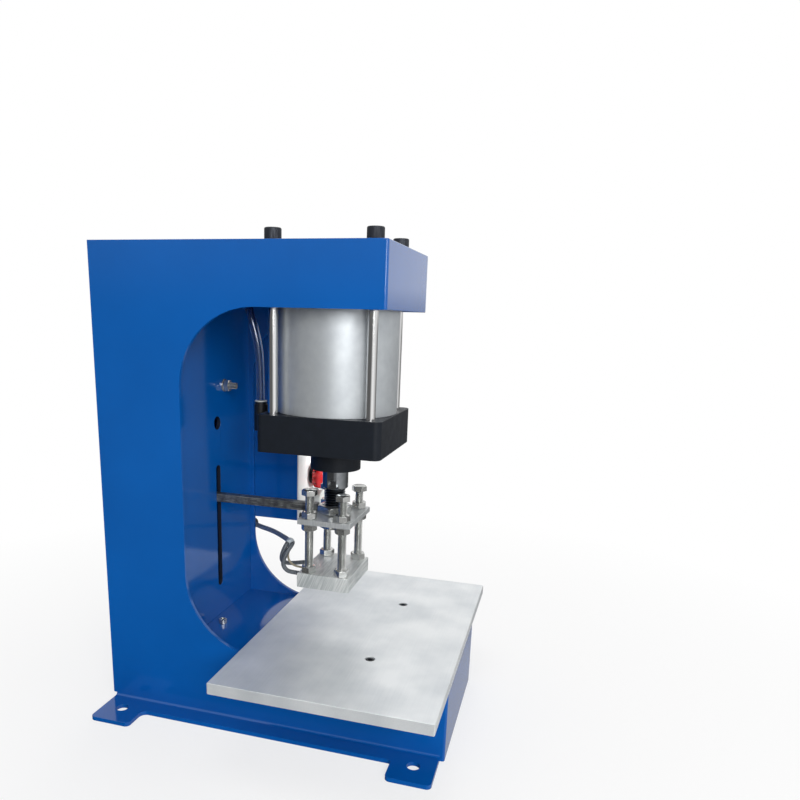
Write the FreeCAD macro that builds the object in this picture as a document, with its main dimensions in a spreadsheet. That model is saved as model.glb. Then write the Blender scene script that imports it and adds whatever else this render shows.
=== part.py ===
"""Pneumatic hot stamping machine: a steel C-frame, a square air cylinder, a heated head and a control box.

Millimetres. X points to the operator's right, Y away from the operator and Z up from the floor.
The line X = 0, Y = 0 is the axis of the cylinder and of its rod.
"""
import FreeCAD, Part
import math
import os
import re

import Sketcher

# Driving sizes, one cell of the sheet each
SIZES = {
    # Steel frame
    "frame_width": 192,
    "plate": 5,
    "frame_back": 250,
    "frame_height": 535,
    "arm_height": 65,
    "arm_front": 79,
    "base_front": 160,
    "base_height": 86.5,
    "top_plate_thickness": 8,
    "throat_back": 146,
    "throat_radius": 86,
    "face_edge_radius": 3,
    "rear_lip": 25,
    # Foot flange with its bolt-down tabs
    "flange_width": 22,
    "tab_reach": 52,
    "bend_radius": 3,
    "flange_back_gap": 4,
    "rear_tab_length": 50,
    "front_tab_length": 49,
    "tab_corner_radius": 5.5,
    "rear_notch_radius": 8,
    "front_notch_radius": 3,
    "foot_hole_diameter": 14,
    "foot_hole_reach": 24,
    "rear_foot_hole_gap": 28,
    "front_foot_hole_gap": 29,
    # Column web, its guide slot and its bolt
    "web_setback": 5.5,
    "web_top_gap": 62,
    "slot_width": 11,
    "slot_above": 35,
    "slot_below": 56,
    "web_hole_diameter": 16,
    "web_hole_drop": 139,
    "web_bolt_side": 19,
    "web_bolt_drop": 95,
    "web_bolt_diameter": 8,
    "web_bolt_flats": 13,
    "web_bolt_head": 5.3,
    "web_bolt_length": 25,
    "web_nut_height": 6.8,
    "web_washer_diameter": 16,
    "web_washer_thickness": 1.6,
    # Table and the socket screws of the deck
    "table_width": 374,
    "table_front": 162,
    "table_back": 73,
    "table_thickness": 12.5,
    "table_chamfer": 0.8,
    "table_screw_inset": 15,
    "table_screw_front": 70,
    "counterbore_diameter": 11,
    "counterbore_depth": 7,
    "deck_screw_side": 26.5,
    "deck_screw_back": 136,
    "deck_screw_diameter": 6,
    "deck_screw_head_diameter": 10,
    "deck_screw_head": 6,
    "deck_screw_length": 16,
    "deck_screw_key": 5,
    # Rear cover and the small button screws
    "cover_lap": 10,
    "cover_thickness": 1.5,
    "cover_margin": 6,
    "cover_screw_margin": 18,
    "cover_screw_diameter": 4,
    "cover_screw_head_diameter": 7.6,
    "cover_screw_head": 2.2,
    "cover_screw_length": 8,
    "cover_screw_key": 2.5,
    # Cylinder
    "cap_size": 140,
    "cap_corner_radius": 8,
    "cap_height": 41,
    "bore": 125,
    "barrel_wall": 6,
    "barrel_length": 128,
    "spigot_height": 10,
    "tie_rod_diameter": 10.8,
    "tie_rod_spacing": 110,
    "tie_rod_inset": 20,
    "tie_nut_diameter": 18.6,
    "tie_nut_length": 26,
    "cap_screw_diameter": 12,
    "cap_screw_head_diameter": 18,
    "cap_screw_head": 12,
    "cap_screw_length": 30,
    "cap_screw_key": 10,
    "cap_washer_diameter": 24,
    "cap_washer_thickness": 3,
    "nose_diameter": 58,
    "nose_length": 25.5,
    "bush_diameter": 38,
    "bush_length": 35,
    "rod_seal_diameter": 44,
    "rod_seal_height": 8,
    "ring_groove_width": 4.2,
    "ring_groove_depth": 3.5,
    "nut_recess_diameter": 60,
    "nut_recess_depth": 22,
    "port_diameter": 13,
    "port_depth": 22,
    "port_passage": 6,
    # Piston and rod
    "piston_gap": 1,
    "piston_height": 36,
    "piston_groove_width": 6,
    "piston_groove_depth": 5,
    "piston_groove_margin": 6,
    "rod_diameter": 30,
    "rod_neck_diameter": 22,
    "rod_thread_diameter": 24,
    "rod_thread_length": 49,
    "rod_extension": 23.5,
    "rod_flats": 28,
    "rod_flat_length": 11,
    "rod_chamfer": 1.5,
    "piston_nut_flats": 32,
    "piston_nut_height": 11,
    "rod_nut_flats": 36,
    "rod_nut_height": 10.5,
    # Head
    "plate_drop": 31,
    "head_plate_width": 84,
    "head_plate_depth": 63,
    "head_plate_thickness": 6,
    "block_width": 84,
    "block_depth": 63,
    "block_height": 17,
    "block_drop": 59,
    "block_chamfer": 0.8,
    "head_bolt_side": 33,
    "head_bolt_front": 20,
    "head_bolt_diameter": 10,
    "head_bolt_flats": 16,
    "head_bolt_head": 6.4,
    "head_bolt_length": 100,
    "head_nut_height": 8,
    "bolt_rise_back_left": 27.6,
    "bolt_rise_front_left": 24.6,
    "bolt_rise_front_right": 21.6,
    "bolt_rise_back_right": 20.6,
    "guide_bar_width": 10.8,
    "guide_bar_height": 10,
    "guide_bar_start": 21,
    "guide_bar_overrun": 6,
    # Heaters
    "heater_side": 20,
    "heater_diameter": 10,
    "heater_length": 55,
    "heater_overhang": 3,
    "probe_diameter": 4,
    "probe_depth": 25,
    "probe_hex_flats": 8,
    "probe_hex_length": 6,
    "heater_lead_diameter": 5.2,
    "probe_lead_diameter": 2.6,
    "heater_cable_diameter": 6.5,
    # Air line
    "hose_diameter": 10,
    "hose_bore": 6.5,
    "hose_insertion": 14,
    "elbow_hex_flats": 17,
    "elbow_hex_length": 6,
    "elbow_stem_length": 10,
    "elbow_reach": 24,
    "elbow_body_diameter": 16,
    "elbow_drop": 8,
    "elbow_rise": 23,
    "fitting_ring_diameter": 14,
    "fitting_ring_height": 3,
    "bracket_thickness": 3,
    "bracket_margin": 14,
    "valve_length": 88,
    "valve_depth": 22,
    "valve_height": 35,
    "valve_drop": 81,
    "valve_port_side": 12,
    "valve_fitting_diameter": 15,
    "valve_fitting_length": 20,
    "valve_fitting_stem": 8,
    "valve_port_diameter": 11,
    "coil_length": 30,
    "coil_height": 40,
    "coil_cable_diameter": 5,
    "coil_cable_hole": 12,
    "coil_cable_inside_box": 14,
    "air_inlet_drop": 92,
    "air_inlet_diameter": 17,
    "air_inlet_thread": 16,
    "air_inlet_nut_flats": 21,
    "air_inlet_nut_height": 5,
    "air_inlet_inside": 20,
    "air_inlet_outside": 22,
    # Control box
    "box_width": 102,
    "box_front": 83,
    "box_depth": 160,
    "box_drop": 343,
    "box_wall": 1.5,
    "box_edge_radius": 2,
    "panel_thickness": 2,
    "box_tab": 10,
    "box_screw_gap": 13,
    "instrument_size": 48,
    "instrument_body": 44.5,
    "instrument_depth": 78,
    "instrument_bezel": 5,
    "window_width": 38,
    "window_height": 18,
    "window_depth": 1,
    # Gaps between the edges of the controls, from the bottom of the box to its top
    "start_gap": 9,
    "stop_gap": 7,
    "switch_gap": 27,
    "timer_gap": 16,
    "controller_gap": 20,
    "box_top_gap": 30,
    # Push controls and the power switch
    "control_barrel": 16,
    "control_nut_diameter": 21,
    "control_nut_height": 4,
    "control_body": 20,
    "control_body_depth": 30,
    "stop_collar_diameter": 24,
    "stop_collar_height": 1.5,
    "stop_head_diameter": 36,
    "stop_head_height": 15,
    "stop_travel": 4,
    "stop_stem_diameter": 10,
    "stop_stem_in_head": 8,
    "stop_stem_in_body": 20,
    "start_collar_diameter": 26,
    "start_collar_height": 8,
    "start_cap_diameter": 22,
    "start_cap_height": 13,
    "start_travel": 3,
    "start_neck_diameter": 10,
    "start_neck_length": 20,
    "end_play": 1,
    "switch_frame_width": 22,
    "switch_frame_height": 30,
    "switch_frame_lip": 2,
    "switch_body_depth": 22,
    "switch_body_wall": 2,
    "rocker_width": 15,
    "rocker_radius": 11,
    "rocker_rise": 6,
    "rocker_tail": 5,
    "rocker_valley": 1.6,
    "rocker_valley_radius": 38,
    "rocker_pin_diameter": 3,
    "rocker_pin_length": 18,
    "rocker_pivot_depth": 3,
    "rocker_tilt": 8,
    # Cable glands under the box
    "gland_thread": 16,
    "gland_stem_length": 10,
    "gland_hex_flats": 20,
    "gland_hex_height": 5,
    "gland_body_diameter": 18,
    "gland_arm_diameter": 16,
    "gland_drop": 14,
    "gland_reach": 22,
    "gland_grip": 8,
    "gland_side": 25.6,
    "gland_back": 89.5,
    "gland_turn": 38,
    "mains_gland_side": 74,
    "mains_gland_back": 132,
    # Clearances, radial on round fits
    "thread_clearance": 0.05,
    "running_clearance": 0.05,
    "bolt_clearance": 0.5,
    "slip_clearance": 0.3,
}

# Places that follow from the sizes
PLACES = {
    "side_outer": "frame_width / 2",
    "side_inner": "side_outer - plate",
    "arm_under": "frame_height - arm_height",
    "frame_front": "-base_front + plate",
    "arm_start": "-arm_front + plate",
    "flange_outer": "side_outer + flange_width",
    "tab_outer": "side_outer + tab_reach",
    "flange_back": "frame_back - flange_back_gap",
    "bend_outer_radius": "bend_radius + plate",
    "rear_tab_front": "flange_back - rear_tab_length",
    "front_tab_back": "frame_front + front_tab_length",
    "lip_front": "frame_back - plate",
    "lip_edge": "side_outer - rear_lip",
    "cover_edge": "lip_edge + cover_lap",
    "cover_screw_side": "lip_edge + cover_lap / 2",
    "cover_low": "bend_outer_radius + cover_margin",
    "cover_high": "frame_height - cover_margin",
    "web_front": "throat_back + web_setback",
    "web_back": "web_front + plate",
    "web_top": "frame_height - web_top_gap",
    "web_hole_height": "web_top - web_hole_drop",
    "web_bolt_height": "web_top - web_bolt_drop",
    "table_top": "base_height + table_thickness",
    "table_screw_side": "side_outer - table_screw_inset",
    "upper_cap_top": "frame_height - top_plate_thickness",
    "barrel_top": "upper_cap_top - cap_height",
    "barrel_bottom": "barrel_top - barrel_length",
    "lower_cap_bottom": "barrel_bottom - cap_height",
    "nose_bottom": "lower_cap_bottom - nose_length",
    "rod_shoulder": "nose_bottom - rod_extension",
    "upper_spigot": "barrel_top - spigot_height",
    "lower_spigot": "barrel_bottom + spigot_height",
    "piston_top": "upper_spigot - piston_gap",
    "piston_bottom": "piston_top - piston_height",
    "plate_top": "rod_shoulder - plate_drop",
    "plate_under": "plate_top - head_plate_thickness",
    "block_top": "plate_under - block_drop",
    "block_under": "block_top - block_height",
    "heater_level": "block_under + block_height / 2",
    "slot_top": "plate_top + guide_bar_height + slot_above",
    "slot_bottom": "plate_top - ram_stroke - slot_below",
    "ram_stroke": "block_under - table_top - 1",
    "tie": "tie_rod_spacing / 2",
    "port_back": "cap_size / 2",
    "upper_port": "upper_cap_top - cap_height / 2",
    "lower_port": "lower_cap_bottom + cap_height / 2",
    "bracket_back": "web_back + bracket_thickness",
    "valve_middle": "bracket_back + valve_depth / 2",
    "valve_bottom": "web_top - valve_drop",
    "valve_top": "valve_bottom + valve_height",
    "air_inlet_height": "valve_bottom - air_inlet_drop",
    "box_side": "side_outer",
    "box_outer": "side_outer + box_width",
    "box_middle": "side_outer + box_width / 2",
    "box_back": "box_front + box_depth",
    "box_bottom": "frame_height - box_drop",
    "start_height": "box_bottom + start_gap + start_collar_diameter / 2",
    "stop_height": "start_height + (start_collar_diameter + stop_collar_diameter) / 2 + stop_gap",
    "switch_height": "stop_height + stop_collar_diameter / 2 + switch_gap + switch_frame_height / 2",
    "timer_height": "switch_height + switch_frame_height / 2 + timer_gap + instrument_size / 2",
    "controller_height": "timer_height + controller_gap + instrument_size",
    "box_top": "controller_height + instrument_size / 2 + box_top_gap",
    "case_front": "box_front + panel_thickness",
}

WORD = re.compile(r"[a-z_]+")
PLANE_ROLES = {"XY": "XY_Plane", "XZ": "XZ_Plane", "YZ": "YZ_Plane"}
ALONG_Y = FreeCAD.Rotation(FreeCAD.Vector(1, 0, 0), -90)
ALONG_MINUS_Y = FreeCAD.Rotation(FreeCAD.Vector(1, 0, 0), 90)
ALONG_X = FreeCAD.Rotation(FreeCAD.Vector(0, 1, 0), 90)
UPSIDE_DOWN = FreeCAD.Rotation(FreeCAD.Vector(1, 0, 0), 180)
UPRIGHT = FreeCAD.Rotation()

doc = FreeCAD.newDocument("hot_stamping_machine")
sheet = doc.addObject("Spreadsheet::Sheet", "sizes")
parts = []


def fill_sheet():
    """Write every driving size into its own cell, with its name as the cell's alias."""
    for row, (alias, number) in enumerate(SIZES.items(), start=1):
        sheet.set("A%d" % row, alias)
        sheet.set("B%d" % row, str(number))
        sheet.setAlias("B%d" % row, alias)
    doc.recompute()


def formula(text):
    """Turn names of sizes and places into references to the sheet."""
    def swap(match):
        word = match.group()
        if word in PLACES:
            return "(" + formula(PLACES[word]) + ")"
        if word in SIZES:
            return "sizes." + word
        return word
    return WORD.sub(swap, text)


def value(text):
    """The number that a formula gives now."""
    return float(sheet.evalExpression(formula(text)))


def drive(item, **formulas):
    """Bind properties of an object to formulas of the sheet."""
    for name, text in formulas.items():
        item.setExpression(name, formula(text))
    return item


def place(item, x="0", y="0", z="0", rotation=None, path="Placement"):
    """Bind the place of an object, after setting its rotation."""
    if rotation is not None:
        setattr(item, path, FreeCAD.Placement(FreeCAD.Vector(), rotation))
    for axis, text in zip("xyz", (x, y, z)):
        item.setExpression("%s.Base.%s" % (path, axis), formula(text))
    return item


def keep(item, label):
    """Take an object as a finished sub-part under its name."""
    item.Label = label
    parts.append(item)
    return item


# Plain solids

def box(x, y, z, kind="Part::Box", owner=None):
    """A box between two formulas on each axis."""
    maker = owner.newObject if owner else doc.addObject
    item = maker(kind, "box")
    for side, (low, high) in zip(("Length", "Width", "Height"), (x, y, z)):
        item.setExpression(side, formula("(%s) - (%s)" % (high, low)))
    return place(item, x[0], y[0], z[0])


def cylinder(diameter, x, y, low, high, kind="Part::Cylinder", owner=None):
    """An upright cylinder between two levels."""
    maker = owner.newObject if owner else doc.addObject
    item = maker(kind, "cylinder")
    drive(item, Radius="(%s) / 2" % diameter, Height="(%s) - (%s)" % (high, low))
    return place(item, x, y, low)


def lying_cylinder(diameter, centre, start, length, rotation, kind="Part::Cylinder", owner=None):
    """A cylinder whose axis is turned from Z; centre gives its two fixed formulas."""
    maker = owner.newObject if owner else doc.addObject
    item = maker(kind, "cylinder")
    drive(item, Radius="(%s) / 2" % diameter, Height=length)
    if rotation is ALONG_X:
        return place(item, start, centre[0], centre[1], rotation)
    return place(item, centre[0], start, centre[1], rotation)


def hexagon(flats, low, high, x="0", y="0"):
    """An upright hexagonal prism, given across its flats, with two faces square to Y."""
    item = doc.addObject("Part::Prism", "hexagon")
    item.Polygon = 6
    drive(item, Circumradius="(%s) / sqrt(3)" % flats, Height="(%s) - (%s)" % (high, low))
    return place(item, x, y, low)


def fuse(*items):
    item = doc.addObject("Part::MultiFuse", "fusion")
    item.Shapes = list(items)
    item.Refine = True
    return item


def cut(base, *tools):
    item = doc.addObject("Part::Cut", "cut")
    item.Base = base
    item.Tool = tools[0] if len(tools) == 1 else fuse(*tools)
    return item


def common(*items):
    item = doc.addObject("Part::MultiCommon", "common")
    item.Shapes = list(items)
    return item


def group(label, copies):
    """One sub-part of several separate solids: (master, x, y, z, rotation) for each copy."""
    links = []
    for master, x, y, z, rotation in copies:
        link = doc.addObject("App::Link", label + "_copy")
        link.LinkedObject = master
        links.append(place(link, x, y, z, rotation))
    item = doc.addObject("Part::Compound", label)
    item.Links = links
    return keep(item, label)


# Bodies with sketches

def new_body(label):
    body = doc.addObject("PartDesign::Body", label)
    return keep(body, label)


def outline(body, plane, start, corners):
    """A closed sketch through corners given as pairs of formulas, on a plane of the body's origin."""
    sketch = body.newObject("Sketcher::SketchObject", "outline")
    support = [item for item in body.Origin.OriginFeatures if item.Role == PLANE_ROLES[plane]]
    sketch.AttachmentSupport = [(support[0], "")]
    sketch.MapMode = "FlatFace"
    sign = "-" if plane == "XZ" else ""
    sketch.setExpression("AttachmentOffset.Base.z", formula("%s(%s)" % (sign, start)))
    spots = [FreeCAD.Vector(value(across), value(up), 0) for across, up in corners]
    count = len(spots)
    for index in range(count):
        sketch.addGeometry(Part.LineSegment(spots[index], spots[(index + 1) % count]))
    for index in range(count):
        sketch.addConstraint(Sketcher.Constraint("Coincident", index, 2, (index + 1) % count, 1))
    for index, (across, up) in enumerate(corners):
        for direction, text, now in (("DistanceX", across, spots[index].x), ("DistanceY", up, spots[index].y)):
            number = sketch.addConstraint(Sketcher.Constraint(direction, -1, 1, index, 1, now))
            sketch.setExpression("Constraints[%d]" % number, formula(text))
    return sketch


def pad(body, plane, start, length, corners):
    """A prism on an outline that grows along the positive axis from its start."""
    sketch = outline(body, plane, start, corners)
    item = body.newObject("PartDesign::Pad", "pad")
    item.Profile = sketch
    item.Reversed = plane == "XZ"
    drive(item, Length=length)
    doc.recompute()
    return item


def turn(body, corners):
    """A solid of revolution about the body's Z axis, through (radius, height) corners."""
    sketch = outline(body, "XZ", "0", corners)
    item = body.newObject("PartDesign::Revolution", "revolution")
    item.Profile = sketch
    item.ReferenceAxis = (sketch, ["V_Axis"])
    item.Angle = 360
    doc.recompute()
    return item


def turned(label, corners):
    body = new_body(label)
    turn(body, corners)
    return body


def rectangle(low_across, high_across, low_up, high_up):
    return [(low_across, low_up), (high_across, low_up), (high_across, high_up), (low_across, high_up)]


def bore(body, diameter, x, y, low, high):
    """Take an upright cylinder out of a body."""
    return cylinder(diameter, x, y, low, high, "PartDesign::SubtractiveCylinder", body)


def bore_along(body, diameter, centre, start, length, rotation=ALONG_Y):
    return lying_cylinder(diameter, centre, start, length, rotation, "PartDesign::SubtractiveCylinder", body)


def hollow(body, x, y, z):
    """Take a box out of a body."""
    return box(x, y, z, "PartDesign::SubtractiveBox", body)


def edges_along(shape, axis, spots):
    """Names of the straight edges along an axis that pass through the spots of the other two axes."""
    others = [name for name in "xyz" if name != axis]
    wanted = [(value(first), value(second)) for first, second in spots]
    names = []
    for number, edge in enumerate(shape.Edges, start=1):
        ends = [edge.Vertexes[0].Point, edge.Vertexes[-1].Point]
        if edge.Curve.TypeId != "Part::GeomLine" or len(edge.Vertexes) < 2:
            continue
        flat = [max(abs(getattr(ends[0], other) - getattr(ends[1], other)) for other in others)]
        here = [getattr(ends[0], other) for other in others]
        near = [math.dist(here, spot) < 0.01 for spot in wanted]
        if flat[0] < 0.001 and any(near):
            names.append("Edge%d" % number)
    return names


def ease(body, kind, size, axis, spots):
    """Fillet or chamfer the edges along an axis through the given spots."""
    base = body.Tip
    item = body.newObject("PartDesign::" + kind, kind.lower())
    item.Base = (base, edges_along(base.Shape, axis, spots))
    item.setExpression("Radius" if kind == "Fillet" else "Size", formula(size))
    doc.recompute()
    return item


def corners_of(low_across, high_across, low_up, high_up):
    return [(across, up) for across in (low_across, high_across) for up in (low_up, high_up)]


# Fasteners, each with its seat at Z = 0 and its head above it

def socket_screw(prefix):
    """A socket-head screw whose sizes start with the prefix."""
    head = cylinder(prefix + "_head_diameter", "0", "0", "0", prefix + "_head")
    shank = cylinder(prefix + "_diameter", "0", "0", "-%s_length" % prefix, "0")
    key = hexagon(prefix + "_key", prefix + "_head / 2", prefix + "_head + 1")
    return cut(fuse(head, shank), key)


def chamfered_hexagon(flats, height, both_ends=True):
    """A hexagon whose corners are turned off at a thirty degree slope."""
    corner = "(%s) / sqrt(3)" % flats
    face = "(%s) * 0.48" % flats
    slope = "((%s) - (%s)) * 0.577" % (corner, face)
    low = [(face, "0"), (corner, slope)] if both_ends else [(corner, "0")]
    body = doc.addObject("PartDesign::Body", "turned_corners")
    turn(body, [("0", "0")] + low + [(corner, "(%s) - (%s)" % (height, slope)), (face, height), ("0", height)])
    return common(hexagon(flats, "0", height), body)


def hex_nut(flats, height, diameter):
    thread = cylinder("(%s) + 2 * thread_clearance" % diameter, "0", "0", "-1", "(%s) + 1" % height)
    return cut(chamfered_hexagon(flats, height), thread)


def hex_bolt(flats, head, diameter, length):
    shank = cylinder(diameter, "0", "0", "-(%s)" % length, "0")
    return fuse(chamfered_hexagon(flats, head, False), shank)


def washer(outer, inner, thickness):
    ring = cylinder(outer, "0", "0", "0", thickness)
    return cut(ring, cylinder(inner, "0", "0", "-1", "(%s) + 1" % thickness))


# Frame

def side_plate(label, side):
    """A C-shaped side plate with its foot flange bent outward and its rear lip bent inward."""
    body = new_body(label)
    inner = side + "side_inner"
    outer = side + "side_outer"
    low_face = inner if side == "" else outer
    pad(body, "YZ", low_face, "plate", [
        ("frame_front", "0"),
        ("flange_back", "0"),
        ("flange_back", "bend_outer_radius"),
        ("frame_back", "bend_outer_radius"),
        ("frame_back", "frame_height"),
        ("arm_start", "frame_height"),
        ("arm_start", "arm_under"),
        ("throat_back", "arm_under"),
        ("throat_back", "base_height"),
        ("frame_front", "base_height"),
    ])
    pad(body, "XY", "0", "plate", [
        (inner, "frame_front"),
        (side + "tab_outer", "frame_front"),
        (side + "tab_outer", "front_tab_back"),
        (side + "flange_outer", "front_tab_back"),
        (side + "flange_outer", "rear_tab_front"),
        (side + "tab_outer", "rear_tab_front"),
        (side + "tab_outer", "flange_back"),
        (inner, "flange_back"),
    ])
    pad(body, "XY", "bend_outer_radius", "upper_cap_top - bend_outer_radius",
        rectangle(outer, side + "lip_edge", "lip_front", "frame_back"))
    ease(body, "Fillet", "throat_radius", "x",
         [("throat_back", "arm_under"), ("throat_back", "base_height")])
    ease(body, "Fillet", "tab_corner_radius", "z",
         [(side + "tab_outer", y) for y in ("frame_front", "front_tab_back", "rear_tab_front", "flange_back")])
    ease(body, "Fillet", "front_notch_radius", "z", [(side + "flange_outer", "front_tab_back")])
    ease(body, "Fillet", "rear_notch_radius", "z", [(side + "flange_outer", "rear_tab_front")])
    ease(body, "Fillet", "bend_radius", "y", [(outer, "plate")])
    ease(body, "Fillet", "bend_outer_radius", "y", [(inner, "0")])
    hollow(body, (low_face + " - 1", low_face + " + plate + 1"),
           ("frame_front - 1", "table_back + slip_clearance"), ("base_height", "table_top"))
    for spot in ("frame_back - rear_foot_hole_gap", "-base_front + front_foot_hole_gap"):
        bore(body, "foot_hole_diameter", side + "(side_outer + foot_hole_reach)", spot, "-1", "plate + 1")
    for level in cover_screw_levels():
        bore_along(body, "cover_screw_diameter + 2 * thread_clearance", (side + "cover_screw_side", level),
                   "lip_front - 1", "plate + 2")
    return body


def cover_screw_levels():
    low = "cover_low + cover_screw_margin"
    high = "cover_high - cover_screw_margin"
    return [low, "(%s + %s) / 2" % (low, high), high]


def box_screw_spots():
    """The places, Y and Z, where the control box is screwed to the right side plate."""
    return [(y, z) for y in ("web_front + box_screw_gap", "box_back - box_screw_gap")
            for z in ("box_bottom + 2 * box_screw_gap", "box_top - 2 * box_screw_gap")]


def frame_plates():
    side_plate("left_side_plate", "-")
    right = side_plate("right_side_plate", "")
    for spot in box_screw_spots():
        bore_along(right, "cover_screw_diameter + 2 * thread_clearance", spot, "side_inner - 1", "plate + 2",
                   ALONG_X)
    bore_along(right, "coil_cable_hole", ("valve_middle", "valve_bottom + valve_height / 2"),
               "side_inner - 1", "plate + 2", ALONG_X)

    deck = new_body("deck_plate")
    pad(deck, "XY", "base_height - plate", "plate",
        rectangle("-side_inner", "side_inner", "frame_front", "lip_front"))
    for x, y, seat in deck_screw_spots():
        bore(deck, "deck_screw_diameter + 2 * thread_clearance", x, y, "base_height - plate - 1", "base_height + 1")

    top = new_body("top_plate")
    pad(top, "XY", "upper_cap_top", "top_plate_thickness",
        rectangle("-side_inner", "side_inner", "arm_start", "frame_back"))
    for x, y in tie_rod_spots():
        bore(top, "cap_screw_diameter + 2 * bolt_clearance", x, y, "upper_cap_top - 1", "frame_height + 1")

    for label, face, low, high in (("arm_front_plate", "arm_front", "arm_under", "frame_height"),
                                   ("base_front_plate", "base_front", "0", "base_height")):
        front = new_body(label)
        pad(front, "XZ", "-" + face, "plate", rectangle("-side_outer", "side_outer", low, high))
        ease(front, "Fillet", "face_edge_radius", "z", [("-side_outer", "-" + face), ("side_outer", "-" + face)])
    ease(doc.getObject("arm_front_plate"), "Fillet", "face_edge_radius / 2", "x", [("-arm_front", "frame_height")])


def column_web():
    """The web behind the throat, with the slot that guides the head's bar."""
    web = new_body("column_web")
    pad(web, "XZ", "web_front", "plate", rectangle("-side_inner", "side_inner", "base_height", "web_top"))
    end = "slot_width / 2"
    hollow(web, ("-" + end, end), ("web_front - 1", "web_back + 1"),
           ("slot_bottom + " + end, "slot_top - " + end))
    for level in ("slot_bottom + " + end, "slot_top - " + end):
        bore_along(web, "slot_width", ("0", level), "web_front - 1", "plate + 2")
    bore_along(web, "web_hole_diameter", ("0", "web_hole_height"), "web_front - 1", "plate + 2")
    bore_along(web, "web_bolt_diameter + 2 * bolt_clearance", ("web_bolt_side", "web_bolt_height"),
               "web_front - 1", "plate + 2")


def rear_cover():
    cover = new_body("rear_cover")
    pad(cover, "XZ", "frame_back", "cover_thickness",
        rectangle("-cover_edge", "cover_edge", "cover_low", "cover_high"))
    ease(cover, "Fillet", "face_edge_radius", "y",
         corners_of("-cover_edge", "cover_edge", "cover_low", "cover_high"))
    for side in ("-", ""):
        for level in cover_screw_levels():
            bore_along(cover, "cover_screw_diameter + bolt_clearance", (side + "cover_screw_side", level),
                       "frame_back - 1", "cover_thickness + 2")
    bore_along(cover, "air_inlet_thread + bolt_clearance", ("0", "air_inlet_height"),
               "frame_back - 1", "cover_thickness + 2")


def cover_screws():
    """Identical button screws: six in the rear cover, four in the panel and four in the box's side."""
    screw = socket_screw("cover_screw")
    copies = []
    for side in ("-", ""):
        for level in cover_screw_levels():
            copies.append((screw, side + "cover_screw_side", "frame_back + cover_thickness", level, ALONG_Y))
    for x, z in panel_screw_spots():
        copies.append((screw, x, "box_front", z, ALONG_MINUS_Y))
    for y, z in box_screw_spots():
        copies.append((screw, "side_outer + box_wall", y, z, ALONG_X))
    group("cover_screws", copies)


def deck_screw_spots():
    """The socket screws in the deck: X, Y and the level that each head sits on."""
    table_seat = "table_top - counterbore_depth"
    return [("-table_screw_side", "-table_screw_front", table_seat),
            ("table_screw_side", "-table_screw_front", table_seat),
            ("-deck_screw_side", "deck_screw_back", "base_height")]


def table():
    plate = new_body("table_plate")
    left, right, front, back = "-table_width / 2", "table_width / 2", "-table_front", "table_back"
    pad(plate, "XY", "base_height", "table_thickness", rectangle(left, right, front, back))
    ease(plate, "Chamfer", "table_chamfer", "x", corners_of(front, back, "base_height", "table_top"))
    ease(plate, "Chamfer", "table_chamfer", "z", corners_of(left, right, front, back))
    for x, y, seat in deck_screw_spots()[:2]:
        bore(plate, "deck_screw_diameter + 2 * bolt_clearance", x, y, "base_height - 1", seat + " + 1")
        bore(plate, "counterbore_diameter", x, y, seat, "table_top + 1")
    screw = socket_screw("deck_screw")
    group("socket_screws", [(screw, x, y, seat, UPRIGHT) for x, y, seat in deck_screw_spots()])


def web_bolt():
    """The bolt through the web that carries the valve's bracket: head behind, nut in the throat."""
    level = "web_bolt_height"
    bolt = hex_bolt("web_bolt_flats", "web_bolt_head", "web_bolt_diameter", "web_bolt_length")
    keep(place(bolt, "web_bolt_side", "bracket_back", level, ALONG_Y), "web_bolt")
    ring = washer("web_washer_diameter", "web_bolt_diameter + bolt_clearance", "web_washer_thickness")
    keep(place(ring, "web_bolt_side", "web_front", level, ALONG_MINUS_Y), "web_bolt_washer")
    nut = hex_nut("web_bolt_flats", "web_nut_height", "web_bolt_diameter")
    keep(place(nut, "web_bolt_side", "web_front - web_washer_thickness", level, ALONG_MINUS_Y), "web_bolt_nut")


# Cylinder

def tie_rod_spots():
    return [(x, y) for x in ("-tie", "tie") for y in ("-tie", "tie")]


def end_cap(label, low, nut_low, spigot_low, spigot_high, groove, port, passage_low, passage_high):
    """A square end cap with its spigot in the barrel, four stepped tie-rod holes and an air port behind."""
    cap = new_body(label)
    half = "cap_size / 2"
    pad(cap, "XY", low, "cap_height", rectangle("-" + half, half, "-" + half, half))
    ease(cap, "Fillet", "cap_corner_radius", "z", corners_of("-" + half, half, "-" + half, half))
    spigot = "bore / 2 - running_clearance"
    floor = "bore / 2 - ring_groove_depth"
    ring_low = "(%s) - ring_groove_width / 2" % groove
    ring_high = "(%s) + ring_groove_width / 2" % groove
    turn(cap, [("0", spigot_low), (spigot, spigot_low), (spigot, ring_low), (floor, ring_low),
               (floor, ring_high), (spigot, ring_high), (spigot, spigot_high), ("0", spigot_high)])
    for x, y in tie_rod_spots():
        bore(cap, "tie_rod_diameter + bolt_clearance", x, y, low + " - 1", low + " + cap_height + 1")
        bore(cap, "tie_nut_diameter + 2 * thread_clearance", x, y, nut_low, nut_low + " + tie_nut_length")
    bore_along(cap, "port_diameter", ("0", port), "port_back - port_depth", "port_depth + 1")
    bore(cap, "port_passage", "0", "port_back - port_depth + port_passage", passage_low, passage_high)
    return cap


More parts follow.
